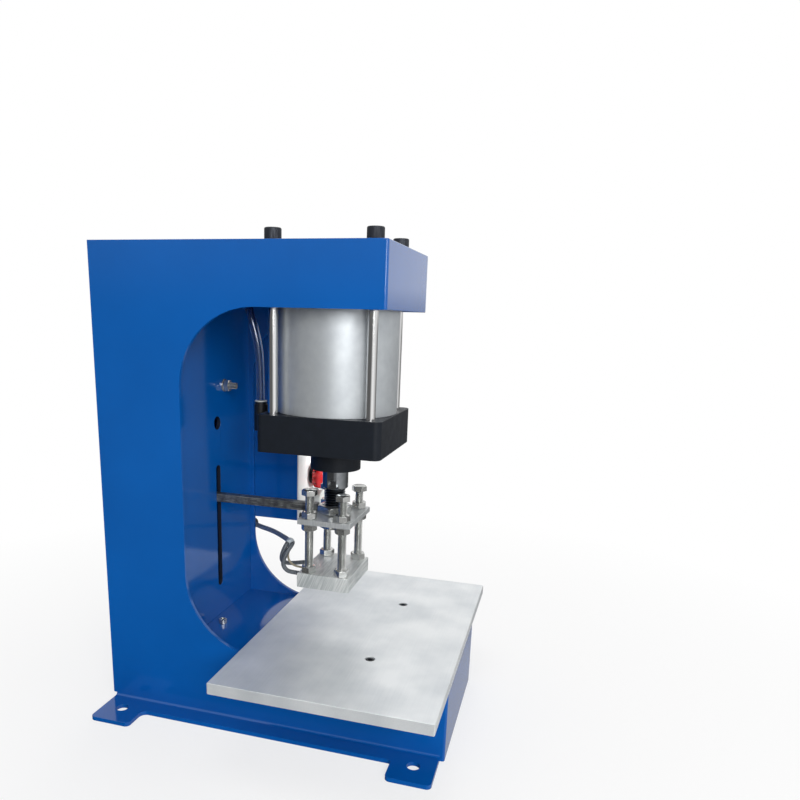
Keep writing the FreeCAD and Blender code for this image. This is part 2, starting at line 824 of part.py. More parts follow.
def cylinder_caps():
    upper = end_cap("upper_end_cap", "barrel_top", "upper_cap_top - tie_nut_length", "upper_spigot",
                    "barrel_top + 1", "barrel_top - spigot_height / 2", "upper_port",
                    "upper_spigot - 1", "upper_port")
    bore(upper, "nut_recess_diameter", "0", "0", "upper_spigot - 1", "upper_spigot + nut_recess_depth")

    lower = end_cap("lower_end_cap", "lower_cap_bottom", "lower_cap_bottom", "barrel_bottom - 1",
                    "lower_spigot", "barrel_bottom + spigot_height / 2", "lower_port",
                    "lower_port", "lower_spigot + 1")
    cylinder("nose_diameter", "0", "0", "nose_bottom", "lower_cap_bottom + 1",
             "PartDesign::AdditiveCylinder", lower)
    bore(lower, "rod_diameter + 2 * slip_clearance", "0", "0", "nose_bottom - 1", "lower_spigot + 1")
    bore(lower, "rod_seal_diameter", "0", "0", "nose_bottom - 1", "nose_bottom + rod_seal_height")
    bore(lower, "bush_diameter", "0", "0", "nose_bottom", "nose_bottom + rod_seal_height + bush_length")


def cylinder_pieces():
    barrel = "bore + 2 * barrel_wall"
    turned("cylinder_barrel", [("bore / 2", "barrel_bottom"), ("(%s) / 2" % barrel, "barrel_bottom"),
                               ("(%s) / 2" % barrel, "barrel_top"), ("bore / 2", "barrel_top")])
    rod_low = "lower_cap_bottom + tie_rod_inset"
    rod_high = "upper_cap_top - tie_rod_inset"
    rod = cylinder("tie_rod_diameter", "0", "0", "0", "(%s) - (%s)" % (rod_high, rod_low))
    group("tie_rods", [(rod, x, y, rod_low, UPRIGHT) for x, y in tie_rod_spots()])

    thread = "cap_screw_diameter + 2 * thread_clearance"
    nut = washer("tie_nut_diameter", thread, "tie_nut_length")
    levels = ("lower_cap_bottom", "upper_cap_top - tie_nut_length")
    group("tie_rod_nuts", [(nut, x, y, level, UPRIGHT) for x, y in tie_rod_spots() for level in levels])

    ring = washer("cap_washer_diameter", "cap_screw_diameter + bolt_clearance", "cap_washer_thickness")
    group("cap_screw_washers", [(ring, x, y, "frame_height", UPRIGHT) for x, y in tie_rod_spots()])
    screw = socket_screw("cap_screw")
    seat = "frame_height + cap_washer_thickness"
    group("cap_screws", [(screw, x, y, seat, UPRIGHT) for x, y in tie_rod_spots()])

    rod_bore = "rod_diameter / 2 + running_clearance"
    bush_low = "nose_bottom + rod_seal_height"
    turned("rod_bush", [(rod_bore, bush_low), ("bush_diameter / 2 - thread_clearance", bush_low),
                        ("bush_diameter / 2 - thread_clearance", bush_low + " + bush_length"),
                        (rod_bore, bush_low + " + bush_length")])
    turned("rod_seal", [(rod_bore, "nose_bottom"), ("rod_seal_diameter / 2 - thread_clearance", "nose_bottom"),
                        ("rod_seal_diameter / 2 - thread_clearance", bush_low), (rod_bore, bush_low)])

    ring = doc.addObject("Part::Torus", "ring")
    drive(ring, Radius1="(bore - ring_groove_depth) / 2", Radius2="ring_groove_depth / 2 - running_clearance")
    half = "spigot_height / 2"
    group("barrel_seals", [(ring, "0", "0", "barrel_bottom + " + half, UPRIGHT),
                           (ring, "0", "0", "barrel_top - " + half, UPRIGHT)])


# Piston, rod and head

def piston_grooves():
    """The low and high level of each of the piston's two seal grooves."""
    lower = "piston_bottom + piston_groove_margin"
    upper = "piston_top - piston_groove_margin - piston_groove_width"
    return [(low, low + " + piston_groove_width") for low in (lower, upper)]


def piston():
    outer = "bore / 2 - running_clearance"
    floor = "bore / 2 - piston_groove_depth"
    neck = "rod_neck_diameter / 2 + thread_clearance"
    corners = [(neck, "piston_bottom"), (outer, "piston_bottom")]
    for low, high in piston_grooves():
        corners += [(outer, low), (floor, low), (floor, high), (outer, high)]
    turned("piston", corners + [(outer, "piston_top"), (neck, "piston_top")])

    seal = washer("bore - running_clearance", "bore - 2 * piston_groove_depth + running_clearance",
                  "piston_groove_width - 2 * running_clearance")
    group("piston_seals", [(seal, "0", "0", low + " + running_clearance", UPRIGHT) for low, high in piston_grooves()])

    nut = hex_nut("piston_nut_flats", "piston_nut_height", "rod_neck_diameter")
    keep(place(nut, "0", "0", "piston_top"), "piston_nut")


def piston_rod():
    full, neck, thread = "rod_diameter / 2", "rod_neck_diameter / 2", "rod_thread_diameter / 2"
    end = "rod_shoulder - rod_thread_length"
    top = "piston_top + piston_nut_height + rod_chamfer"
    rod = turned("piston_rod", [
        ("0", end),
        (thread + " - rod_chamfer", end),
        (thread, end + " + rod_chamfer"),
        (thread, "rod_shoulder"),
        (full + " - rod_chamfer", "rod_shoulder"),
        (full, "rod_shoulder + rod_chamfer"),
        (full, "piston_bottom"),
        (neck, "piston_bottom"),
        (neck, top),
        (neck + " - rod_chamfer", top + " + rod_chamfer"),
        ("0", top + " + rod_chamfer"),
    ])
    flat = "rod_flats / 2"
    for x in (("-" + full + " - 1", "-" + flat), (flat, full + " + 1")):
        hollow(rod, x, ("-" + full, full), ("rod_shoulder", "rod_shoulder + rod_flat_length"))

    nut = hex_nut("rod_nut_flats", "rod_nut_height", "rod_thread_diameter")
    group("rod_nuts", [(nut, "0", "0", level, UPRIGHT) for level in ("plate_top", "plate_under - rod_nut_height")])


def head_bolt_spots():
    """X, Y and the rise of the bolt head above the head plate, corner by corner."""
    left, right = "-head_bolt_side", "head_bolt_side"
    front, back = "-head_bolt_front", "head_bolt_front"
    return [(left, back, "bolt_rise_back_left"), (left, front, "bolt_rise_front_left"),
            (right, front, "bolt_rise_front_right"), (right, back, "bolt_rise_back_right")]


def head():
    half_x, half_y = "head_plate_width / 2", "head_plate_depth / 2"
    plate = new_body("head_plate")
    pad(plate, "XY", "plate_under", "head_plate_thickness", rectangle("-" + half_x, half_x, "-" + half_y, half_y))
    bore(plate, "rod_thread_diameter + bolt_clearance", "0", "0", "plate_under - 1", "plate_top + 1")
    half_x, half_y = "block_width / 2", "block_depth / 2"
    block = new_body("heating_block")
    pad(block, "XY", "block_under", "block_height", rectangle("-" + half_x, half_x, "-" + half_y, half_y))
    ease(block, "Chamfer", "block_chamfer", "x", corners_of("-" + half_y, half_y, "block_under", "block_top"))
    for x, y, rise in head_bolt_spots():
        bore(plate, "head_bolt_diameter + bolt_clearance", x, y, "plate_under - 1", "plate_top + 1")
        bore(block, "head_bolt_diameter + 2 * thread_clearance", x, y, "block_under - 1", "block_top + 1")
    hole_depth = "heater_length - heater_overhang + slip_clearance"
    for side in ("-", ""):
        bore_along(block, "heater_diameter + 2 * running_clearance", (side + "heater_side", "heater_level"),
                   "block_depth / 2 - (%s)" % hole_depth, hole_depth + " + 1")
    bore_along(block, "probe_diameter + 2 * running_clearance", ("0", "heater_level"),
               "block_depth / 2 - probe_depth - slip_clearance", "probe_depth + slip_clearance + 1")

    bolt = hex_bolt("head_bolt_flats", "head_bolt_head", "head_bolt_diameter", "head_bolt_length")
    group("head_bolts", [(bolt, x, y, "plate_top + " + rise, UPRIGHT) for x, y, rise in head_bolt_spots()])
    nut = hex_nut("head_bolt_flats", "head_nut_height", "head_bolt_diameter")
    levels = ("plate_top", "plate_under - head_nut_height", "block_top")
    group("head_nuts", [(nut, x, y, level, UPRIGHT) for x, y, rise in head_bolt_spots() for level in levels])

    bar = box(("-guide_bar_width / 2", "guide_bar_width / 2"),
              ("guide_bar_start", "web_back + guide_bar_overrun"),
              ("plate_top", "plate_top + guide_bar_height"))
    keep(bar, "guide_bar")


def heaters():
    """Two cartridges, pushed into the heating block from behind."""
    cartridge = cylinder("heater_diameter", "0", "0", "0", "heater_length")
    start = "block_depth / 2 + heater_overhang - heater_length"
    group("cartridge_heaters", [(cartridge, side + "heater_side", start, "heater_level", ALONG_Y)
                                for side in ("-", "")])


# Air line

def hose_bore(x, y, low, high):
    return cylinder("hose_diameter + 2 * running_clearance", x, y, low, high)


def elbow():
    """A push-in elbow: its stem goes along minus Y into a port at the origin, its mouth looks up."""
    stem = lying_cylinder("port_diameter - 2 * thread_clearance", ("0", "0"), "-elbow_stem_length",
                          "elbow_stem_length + elbow_reach", ALONG_Y)
    collar = place(hexagon("elbow_hex_flats", "0", "elbow_hex_length"), "0", "0", "0", ALONG_Y)
    body = cylinder("elbow_body_diameter", "0", "elbow_reach", "-elbow_drop", "elbow_rise")
    ring = cylinder("fitting_ring_diameter", "0", "elbow_reach", "elbow_rise", "elbow_rise + fitting_ring_height")
    mouth = "elbow_rise + fitting_ring_height"
    way = cylinder("port_passage", "0", "elbow_reach", "0", mouth)
    along = lying_cylinder("port_passage", ("0", "0"), "-elbow_stem_length - 1",
                           "elbow_stem_length + elbow_reach + 1", ALONG_Y)
    socket = hose_bore("0", "elbow_reach", mouth + " - hose_insertion", mouth + " + 1")
    return cut(fuse(stem, collar, body, ring), way, along, socket)


def straight_fitting():
    """A push-in fitting that stands on a port at the origin and takes the hose from above."""
    mouth = "valve_fitting_length + fitting_ring_height"
    stem = cylinder("valve_port_diameter - 2 * thread_clearance", "0", "0", "-valve_fitting_stem", "0")
    body = cylinder("valve_fitting_diameter", "0", "0", "0", "valve_fitting_length")
    ring = cylinder("fitting_ring_diameter", "0", "0", "valve_fitting_length", mouth)
    way = cylinder("port_passage", "0", "0", "-valve_fitting_stem - 1", mouth)
    return cut(fuse(stem, body, ring), way, hose_bore("0", "0", mouth + " - hose_insertion", mouth + " + 1"))


def valve():
    """The solenoid valve on its bracket behind the web, with its coil and its cable to the box."""
    half = "valve_length / 2"
    bracket = new_body("valve_bracket")
    pad(bracket, "XZ", "web_back", "bracket_thickness",
        rectangle("-" + half, half, "web_bolt_height - bracket_margin", "valve_top"))
    bore_along(bracket, "web_bolt_diameter + 2 * bolt_clearance", ("web_bolt_side", "web_bolt_height"),
               "web_back - 1", "bracket_thickness + 2")

    body = new_body("solenoid_valve")
    pad(body, "XZ", "bracket_back", "valve_depth", rectangle("-" + half, half, "valve_bottom", "valve_top"))
    for side in ("-", ""):
        bore(body, "valve_port_diameter", side + "valve_port_side", "valve_middle",
             "valve_top - valve_fitting_stem", "valve_top + 1")
        bore(body, "port_passage", side + "2 * valve_port_side", "valve_middle",
             "valve_bottom - 1", "valve_bottom + valve_fitting_stem")
    bore(body, "valve_port_diameter", "0", "valve_middle", "valve_bottom - 1", "valve_bottom + valve_fitting_stem")

    fitting = straight_fitting()
    group("valve_fittings", [(fitting, "-valve_port_side", "valve_middle", "valve_top", UPRIGHT),
                             (fitting, "valve_port_side", "valve_middle", "valve_top", UPRIGHT),
                             (fitting, "0", "valve_middle", "valve_bottom", UPSIDE_DOWN)])

    middle = "valve_bottom + valve_height / 2"
    coil = box((half, half + " + coil_length"), ("bracket_back + slip_clearance", "bracket_back + valve_depth"),
               (middle + " - coil_height / 2", middle + " + coil_height / 2"))
    keep(coil, "valve_coil")
    cable = lying_cylinder("coil_cable_diameter", ("valve_middle", middle), half + " + coil_length",
                           "side_outer + coil_cable_inside_box - (%s + coil_length)" % half, ALONG_X)
    keep(cable, "coil_cable")


def air_inlet():
    """A bulkhead fitting in the rear cover: local Z runs from inside to outside."""
    inside, outside = "-air_inlet_inside", "air_inlet_outside"
    body = cylinder("air_inlet_thread", "0", "0", inside, outside)
    flange = hexagon("air_inlet_nut_flats", "cover_thickness", "cover_thickness + air_inlet_nut_height")
    nut = hexagon("air_inlet_nut_flats", "-air_inlet_nut_height", "0")
    way = cylinder("port_passage", "0", "0", inside + " - 1", outside + " + 1")
    inner = hose_bore("0", "0", inside + " - 1", inside + " + hose_insertion")
    outer = hose_bore("0", "0", outside + " - hose_insertion", outside + " + 1")
    fitting = cut(fuse(body, flange, nut), way, inner, outer)
    keep(place(fitting, "0", "frame_back", "air_inlet_height", ALONG_Y), "air_inlet_fitting")


# Hoses and leads: straight runs joined by arcs

def route(label, points, diameter):
    """A wire along the points; each arc has the largest radius that its two runs allow."""
    spots = [FreeCAD.Vector(*point) for point in points]
    lengths = [(after - before).Length for before, after in zip(spots, spots[1:])]
    edges = []
    radii = []
    last = spots[0]
    for index in range(1, len(spots) - 1):
        back = (spots[index - 1] - spots[index]).normalize()
        ahead = (spots[index + 1] - spots[index]).normalize()
        half_turn = (math.pi - back.getAngle(ahead)) / 2
        setback = 0.45 * min(lengths[index - 1], lengths[index])
        radii.append(setback / math.tan(half_turn))
        start = spots[index] + back * setback
        stop = spots[index] + ahead * setback
        middle_way = (back + ahead).normalize()
        middle = spots[index] + middle_way * (radii[-1] / math.cos(half_turn) - radii[-1])
        edges.append(Part.LineSegment(last, start).toShape())
        edges.append(Part.Arc(start, middle, stop).toShape())
        last = stop
    edges.append(Part.LineSegment(last, spots[-1]).toShape())
    wire = Part.Wire(edges)
    print("%s: length %.1f, least radius %.1f diameters, radii %s" % (
        label, wire.Length, min(radii) / diameter, " ".join("%.0f" % radius for radius in radii)))
    return wire


def tube(wire, diameter):
    first = wire.Edges[0]
    direction = first.tangentAt(first.FirstParameter)
    ring = Part.Wire(Part.makeCircle(diameter / 2, first.valueAt(first.FirstParameter), direction))
    solid = wire.makePipeShell([ring], True, True)
    expected = math.pi * diameter ** 2 / 4 * wire.Length
    if abs(solid.Volume - expected) > 0.01 * expected:
        raise ValueError("a tube lost volume: %.0f instead of %.0f" % (solid.Volume, expected))
    return solid


def cord(label, routes, diameter, inner=0.0):
    """A sub-part of one or more tubes along lists of points, hollow where an inner diameter is given."""
    solids = []
    for points in routes:
        wire = route(label, points, diameter)
        solid = tube(wire, diameter)
        if inner:
            solid = solid.cut(tube(wire, inner))
        solids.append(solid)
    item = doc.addObject("Part::Feature", label)
    item.Shape = solids[0] if len(solids) == 1 else Part.makeCompound(solids)
    return keep(item, label)


def hoses():
    """The three air hoses, from socket to socket."""
    size, inner = value("hose_diameter"), value("hose_bore")
    socket = value("hose_insertion")
    elbow_y = value("port_back + elbow_reach")
    elbow_mouth = value("elbow_rise + fitting_ring_height")
    valve_y = value("valve_middle")
    valve_mouth = value("valve_top + valve_fitting_length + fitting_ring_height")
    port_x = value("valve_port_side")
    arch = value("web_top + hose_diameter / 2")

    low_mouth = value("lower_port") + elbow_mouth
    cord("lower_air_hose", [[
        (0, elbow_y, low_mouth - socket),
        (0, elbow_y, low_mouth + 26),
        (-0.5, elbow_y + 1.5, low_mouth + 60),
        (-2, elbow_y + 8.8, arch - 21.8),
        (-3.5, elbow_y + 17, arch + 0.8),
        (-6, elbow_y + 37.7, arch + 12.7),
        (-9, elbow_y + 61.1, arch + 8.5),
        (-port_x, valve_y, arch - 9.7),
        (-port_x, valve_y, valve_mouth - socket),
    ]], size, inner)

    level = value("upper_port")
    cord("upper_air_hose", [[
        (elbow_mouth - socket, elbow_y, level),
        (elbow_mouth + 14, elbow_y, level),
        (elbow_mouth + 30.4, elbow_y + 11.5, level + 0.5),
        (elbow_mouth + 37.2, elbow_y + 30.3, level + 1),
        (elbow_mouth + 32, elbow_y + 49.6, level),
        (elbow_mouth + 16.7, elbow_y + 62.5, level - 2),
        (port_x + 10, valve_y - 3, arch + 15),
        (port_x, valve_y, arch - 4),
        (port_x, valve_y, valve_mouth - socket),
    ]], size, inner)

    inlet_mouth = value("valve_bottom - valve_fitting_length - fitting_ring_height")
    inlet_y = value("frame_back - air_inlet_inside")
    inlet_z = value("air_inlet_height")
    cord("air_inlet_hose", [[
        (0, valve_y, inlet_mouth + socket),
        (0, valve_y, inlet_z + 52),
        (0, valve_y + 5.5, inlet_z + 26),
        (0, valve_y + 25.5, inlet_z + 6),
        (0, inlet_y - 8, inlet_z),
        (0, inlet_y + socket, inlet_z),
    ]], size, inner)


def heater_wiring():
    """The braided cable from its gland to the head, the leads that leave its end and the probe's thin lead."""
    turn_angle = math.radians(value("gland_turn"))
    ahead = FreeCAD.Vector(-math.sin(turn_angle), -math.cos(turn_angle), 0)
    gland = FreeCAD.Vector(value("side_outer + gland_side"), value("box_front + gland_back"),
                           value("box_bottom - gland_drop"))
    rear = value("block_depth / 2")
    block = value("heater_level")
    end = FreeCAD.Vector(-8, rear + 21.7, block + 33.5)
    cord("heater_cable", [[
        tuple(gland + ahead * value("gland_reach - gland_grip")),
        tuple(gland + ahead * value("gland_reach + 16")),
        (76, rear + 80.2, block + 17.5),
        (46, rear + 52, block + 20.5),
        (20, rear + 34.5, block + 25.5),
        tuple(end),
    ]], value("heater_cable_diameter"))

    side = value("heater_side")
    back = value("block_depth / 2 + heater_overhang")
    left_start = end + FreeCAD.Vector(0.95, -2.62, 0.02)
    right_start = end + FreeCAD.Vector(-1.3, 2.62, 0.02)
    cord("heater_leads", [[
        tuple(left_start),
        (-12.6, rear + 16.6, block + 34.8),
        (-18.6, rear + 16, block + 33),
        (-23, rear + 19, block + 27.5),
        (-24, rear + 23, block + 18.5),
        (-24, rear + 25, block + 9.5),
        (-22.5, rear + 20.5, block + 2),
        (-side, rear + 12, block),
        (-side, back, block),
    ], [
        tuple(right_start),
        (-15.4, rear + 22.2, block + 35),
        (-19.6, rear + 23.2, block + 31.8),
        (-19.9, rear + 25.9, block + 26),
        (-19, rear + 28.5, block + 18.5),
        (-12, rear + 31, block + 9.5),
        (0, rear + 28.5, block + 3),
        (13, rear + 21.5, block),
        (side, rear + 12.5, block),
        (side, back, block),
    ]], value("heater_lead_diameter"))

    lead = route("thermocouple", [
        (-9, rear + 21.4, block + 30.6),
        (-11.8, rear + 20, block + 31),
        (-14.2, rear + 19.8, block + 28.6),
        (-14.6, rear + 20.8, block + 24.8),
        (-12.5, rear + 23, block + 18.5),
        (-6.5, rear + 24.5, block + 10),
        (-1.5, rear + 21.5, block + 2.5),
        (0, rear + 14, block),
        (0, rear + value("probe_hex_length"), block),
    ], value("probe_lead_diameter"))
    thin = doc.addObject("Part::Feature", "probe_lead")
    thin.Shape = tube(lead, value("probe_lead_diameter"))
    rod = cylinder("probe_diameter", "0", "0", "-probe_depth", "1")
    probe = fuse(rod, hexagon("probe_hex_flats", "0", "probe_hex_length"))
    group("thermocouple", [(probe, "0", "block_depth / 2", "heater_level", ALONG_Y),
                           (thin, "0", "0", "0", UPRIGHT)])


# Control box

def panel_screw_spots():
    edge = "box_tab / 2 + box_wall"
    return [(x, z) for x in ("box_side + " + edge, "box_outer - (%s)" % edge)
            for z in ("box_bottom + " + edge, "box_top - (%s)" % edge)]


def gland_spots():
    """X, Y and turn of the two elbow glands under the box: heater cable first, mains second."""
    heater = ("side_outer + gland_side", "box_front + gland_back")
    mains = ("side_outer + mains_gland_side", "box_front + mains_gland_back")
    return [heater, mains]


def control_box():
    case = new_body("control_box_case")
    pad(case, "XZ", "case_front", "box_back - case_front",
        rectangle("box_side", "box_outer", "box_bottom", "box_top"))
    ease(case, "Fillet", "box_edge_radius", "y", corners_of("box_side", "box_outer", "box_bottom", "box_top"))
    hollow(case, ("box_side + box_wall", "box_outer - box_wall"), ("case_front - 1", "box_back - box_wall"),
           ("box_bottom + box_wall", "box_top - box_wall"))
    wall = "box_wall / 2"
    for x in (("box_side + " + wall, "box_side + box_wall + box_tab"),
              ("box_outer - box_wall - box_tab", "box_outer - " + wall)):
        for z in (("box_bottom + " + wall, "box_bottom + box_wall + box_tab"),
                  ("box_top - box_wall - box_tab", "box_top - " + wall)):
            box(x, ("case_front", "case_front + box_tab"), z, "PartDesign::AdditiveBox", case)
    for spot in panel_screw_spots():
        bore_along(case, "cover_screw_diameter + 2 * thread_clearance", spot, "case_front - 1", "box_tab + 2")
    for spot in box_screw_spots():
        bore_along(case, "cover_screw_diameter + bolt_clearance", spot, "box_side - 1", "box_wall + 2", ALONG_X)
    bore_along(case, "coil_cable_hole", ("valve_middle", "valve_bottom + valve_height / 2"),
               "box_side - 1", "box_wall + 2", ALONG_X)
    for x, y in gland_spots():
        bore(case, "gland_thread + 2 * thread_clearance", x, y, "box_bottom - 1", "box_bottom + box_wall + 1")

    panel = new_body("control_panel")
    pad(panel, "XZ", "box_front", "panel_thickness", rectangle("box_side", "box_outer", "box_bottom", "box_top"))
    ease(panel, "Fillet", "box_edge_radius", "y", corners_of("box_side", "box_outer", "box_bottom", "box_top"))
    for spot in panel_screw_spots():
        bore_along(panel, "cover_screw_diameter + bolt_clearance", spot, "box_front - 1", "panel_thickness + 2")
    for level in ("stop_height", "start_height"):
        bore_along(panel, "control_barrel + bolt_clearance", ("box_middle", level), "box_front - 1",
                   "panel_thickness + 2")
    half = "instrument_body / 2 + slip_clearance"
    for level in ("controller_height", "timer_height"):
        hollow(panel, ("box_middle - (%s)" % half, "box_middle + " + half),
               ("box_front - 1", "case_front + 1"), ("%s - (%s)" % (level, half), "%s + %s" % (level, half)))
    hollow(panel, ("box_middle - switch_frame_width / 2 + 2", "box_middle + switch_frame_width / 2 - 2"),
           ("box_front - 1", "case_front + 1"),
           ("switch_height - switch_frame_height / 2 + 2", "switch_height + switch_frame_height / 2 - 2"))


def instrument(label, level):
    """A panel instrument with a bezel, a sunk window and a long body behind the panel."""
    half, core = "instrument_size / 2", "instrument_body / 2"
    item = new_body(label)
    pad(item, "XZ", "box_front - instrument_bezel", "instrument_bezel",
        rectangle("box_middle - " + half, "box_middle + " + half, "%s - %s" % (level, half),
                  "%s + %s" % (level, half)))
    ease(item, "Fillet", "box_edge_radius", "y",
         corners_of("box_middle - " + half, "box_middle + " + half, "%s - %s" % (level, half),
                    "%s + %s" % (level, half)))
    box(("box_middle - " + core, "box_middle + " + core), ("box_front - 1", "box_front + instrument_depth"),
        ("%s - %s" % (level, core), "%s + %s" % (level, core)), "PartDesign::AdditiveBox", item)
    top = "%s + %s - (instrument_size - window_width) / 2" % (level, half)
    hollow(item, ("box_middle - window_width / 2", "box_middle + window_width / 2"),
           ("box_front - instrument_bezel - 1", "box_front - instrument_bezel + window_depth"),
           ("%s - window_height" % top, top))


def control_housing(collar_diameter, collar_height, recess, opening, depth):
    """A round housing in the panel and its contact block, with a stepped hole for what moves in it.

    Local Z runs from the panel's front face into the box.
    """
    collar = cylinder(collar_diameter, "0", "0", "-" + collar_height, "0")
    barrel = cylinder("control_barrel", "0", "0", "-1", "panel_thickness + control_nut_height + 2")
    nut = cylinder("control_nut_diameter", "0", "0", "panel_thickness", "panel_thickness + control_nut_height")
    start = "panel_thickness + control_nut_height + 1"
    half = "control_body / 2"
    block = box(("-" + half, half), ("-" + half, half), (start, start + " + control_body_depth"))
    hole = cylinder(opening, "0", "0", "-%s - 1" % collar_height, depth)
    tools = [hole]
    if recess:
        tools.append(cylinder(recess[0], "0", "0", "-%s - 1" % collar_height, recess[1]))
    return cut(fuse(collar, barrel, nut, block), *tools)


def emergency_stop():
    housing = control_housing("stop_collar_diameter", "stop_collar_height", None,
                              "stop_stem_diameter + 2 * running_clearance",
                              "stop_stem_in_body + stop_travel + end_play")
    keep(place(housing, "box_middle", "box_front", "stop_height", ALONG_Y), "emergency_stop_collar")

    seat = "-stop_collar_height - stop_travel - end_play"
    stem_end = seat + " - stop_stem_in_head"
    stem = lying_cylinder("stop_stem_diameter", ("box_middle", "stop_height"), "box_front + " + stem_end,
                          "stop_stem_in_body - (%s)" % stem_end, ALONG_Y)
    keep(stem, "emergency_stop_stem")

    rim = "stop_head_diameter / 2"
    front = "(%s) - stop_head_height" % seat
    hub = "stop_stem_diameter / 2 + running_clearance"
    head_body = turned("emergency_stop_button", [
        ("0", front),
        (rim + " * 0.6", front + " + 1"),
        (rim + " * 0.92", front + " + 4"),
        (rim, front + " + 8"),
        (rim + " - 1", seat),
        (hub, seat),
        (hub, seat + " - stop_stem_in_head"),
        ("0", seat + " - stop_stem_in_head"),
    ])
    place(head_body, "box_middle", "box_front", "stop_height", ALONG_Y)


def start_button():
    housing = control_housing("start_collar_diameter", "start_collar_height",
                              ("start_cap_diameter + 2 * running_clearance", "-0.5"),
                              "start_neck_diameter + 2 * running_clearance",
                              "start_neck_length + start_travel + end_play")
    keep(place(housing, "box_middle", "box_front", "start_height", ALONG_Y), "start_button_collar")
    seat = "-start_travel - end_play"
    cap = turned("start_button", [
        ("0", seat + " - start_cap_height"),
        ("start_cap_diameter / 2 - 1", seat + " - start_cap_height"),
        ("start_cap_diameter / 2", seat + " - start_cap_height + 1"),
        ("start_cap_diameter / 2", seat),
        ("start_neck_diameter / 2", seat),
        ("start_neck_diameter / 2", "start_neck_length"),
        ("0", "start_neck_length"),
    ])
    place(cap, "box_middle", "box_front", "start_height", ALONG_Y)


def power_switch():
    """A rocker on a cross pin; local Y runs into the box and the pin is the local X axis."""
    half_x, half_z = "switch_frame_width / 2", "switch_frame_height / 2"
    front = "-rocker_pivot_depth"
    frame = new_body("power_switch_frame")
    box(("-" + half_x, half_x), (front + " - switch_frame_lip", front), ("-" + half_z, half_z),
        "PartDesign::AdditiveBox", frame)
    box(("-%s + 2.3" % half_x, half_x + " - 2.3"), (front + " - 1", front + " + switch_body_depth"),
        ("-%s + 2.3" % half_z, half_z + " - 2.3"), "PartDesign::AdditiveBox", frame)
    gap_x = "rocker_width / 2 + slip_clearance"
    gap_z = "rocker_radius + slip_clearance"
    hollow(frame, ("-(%s)" % gap_x, gap_x), (front + " - switch_frame_lip - 1", gap_z),
           ("-(%s)" % gap_z, gap_z))
    bore_along(frame, "rocker_pin_diameter + 2 * running_clearance", ("0", "0"),
               "-rocker_pin_length / 2 - running_clearance", "rocker_pin_length + 2 * running_clearance", ALONG_X)
    place(frame, "box_middle", "box_front + rocker_pivot_depth", "switch_height")

    rocker = new_body("power_switch_rocker")
    lying_cylinder("2 * rocker_radius", ("0", "0"), "-rocker_width / 2", "rocker_width", ALONG_X,
                   "PartDesign::AdditiveCylinder", rocker)
    beside = ("-rocker_width", "rocker_width")
    above = ("-rocker_radius - 1", "rocker_radius + 1")
    hollow(rocker, beside, ("-rocker_radius - 1", "-rocker_rise"), above)
    hollow(rocker, beside, ("rocker_tail", "rocker_radius + 1"), above)
    bore_along(rocker, "2 * rocker_valley_radius", ("-rocker_rise + rocker_valley - rocker_valley_radius", "0"),
               "-rocker_width", "2 * rocker_width", ALONG_X)
    lying_cylinder("rocker_pin_diameter", ("0", "0"), "-rocker_pin_length / 2", "rocker_pin_length", ALONG_X,
                   "PartDesign::AdditiveCylinder", rocker)
    tilt = FreeCAD.Rotation(FreeCAD.Vector(1, 0, 0), value("rocker_tilt"))
    place(rocker, "box_middle", "box_front + rocker_pivot_depth", "switch_height", tilt)


def cable_glands():
    """Elbow glands: each stem goes up through the box's floor, each mouth looks along minus Y."""
    level = "-gland_drop"
    stem = cylinder("gland_thread", "0", "0", "0", "gland_stem_length")
    collar = hexagon("gland_hex_flats", "-gland_hex_height", "0")
    body = cylinder("gland_body_diameter", "0", "0", level + " - gland_body_diameter / 2", "0")
    arm = lying_cylinder("gland_arm_diameter", ("0", level), "-gland_reach", "gland_reach", ALONG_Y)
    way = cylinder("heater_cable_diameter", "0", "0", level, "gland_stem_length + 1")
    grip = lying_cylinder("heater_cable_diameter + 2 * running_clearance", ("0", level), "-gland_reach - 1",
                          "gland_reach + 1", ALONG_Y)
    gland = cut(fuse(stem, collar, body, arm), way, grip)
    turns = (FreeCAD.Rotation(FreeCAD.Vector(0, 0, 1), -value("gland_turn")),
             FreeCAD.Rotation(FreeCAD.Vector(0, 0, 1), 180))
    group("cable_glands", [(gland, x, y, "box_bottom", way_out) for (x, y), way_out in zip(gland_spots(), turns)])


def elbows():
    """The cylinder's two elbows: the lower mouth looks up, the upper one to the right."""
    item = elbow()
    sideways = FreeCAD.Rotation(FreeCAD.Vector(0, 1, 0), 90)
    group("cylinder_elbows", [(item, "0", "port_back", "lower_port", UPRIGHT),
                              (item, "0", "port_back", "upper_port", sideways)])


def check_and_write():
    """Stop on any failed object, then write one STEP file for each sub-part."""
    doc.recompute()
    failed = [item.Label for item in doc.Objects if "Invalid" in item.State or "Error" in item.State]
    failed += [item.Label for item in parts
               if item.Shape.isNull() or not item.Shape.isValid() or not item.Shape.Solids]
    if failed:
        raise ValueError("no sound shape: " + ", ".join(failed))
    os.makedirs("parts", exist_ok=True)
    for item in parts:
        item.Shape.exportStep("parts/%s.step" % item.Label)
    print("%d sub-parts, %d solids" % (len(parts), sum(len(item.Shape.Solids) for item in parts)))


fill_sheet()
frame_plates()
column_web()
rear_cover()
cover_screws()
table()
web_bolt()
cylinder_caps()
cylinder_pieces()
piston()
piston_rod()
head()
heaters()
elbows()
valve()
air_inlet()
hoses()
heater_wiring()
control_box()
instrument("temperature_controller", "controller_height")
instrument("dwell_timer", "timer_height")
emergency_stop()
start_button()
power_switch()
cable_glands()
check_and_write()
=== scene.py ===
"""Pneumatic hot stamping machine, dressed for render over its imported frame.

Metres, +Z up, +X to the operator's right, +Y away from the operator.
The origin is the cylinder's axis on the floor.
"""
import logging
import math
from collections.abc import Callable, Iterable, Sequence
from dataclasses import dataclass, field
from enum import Enum

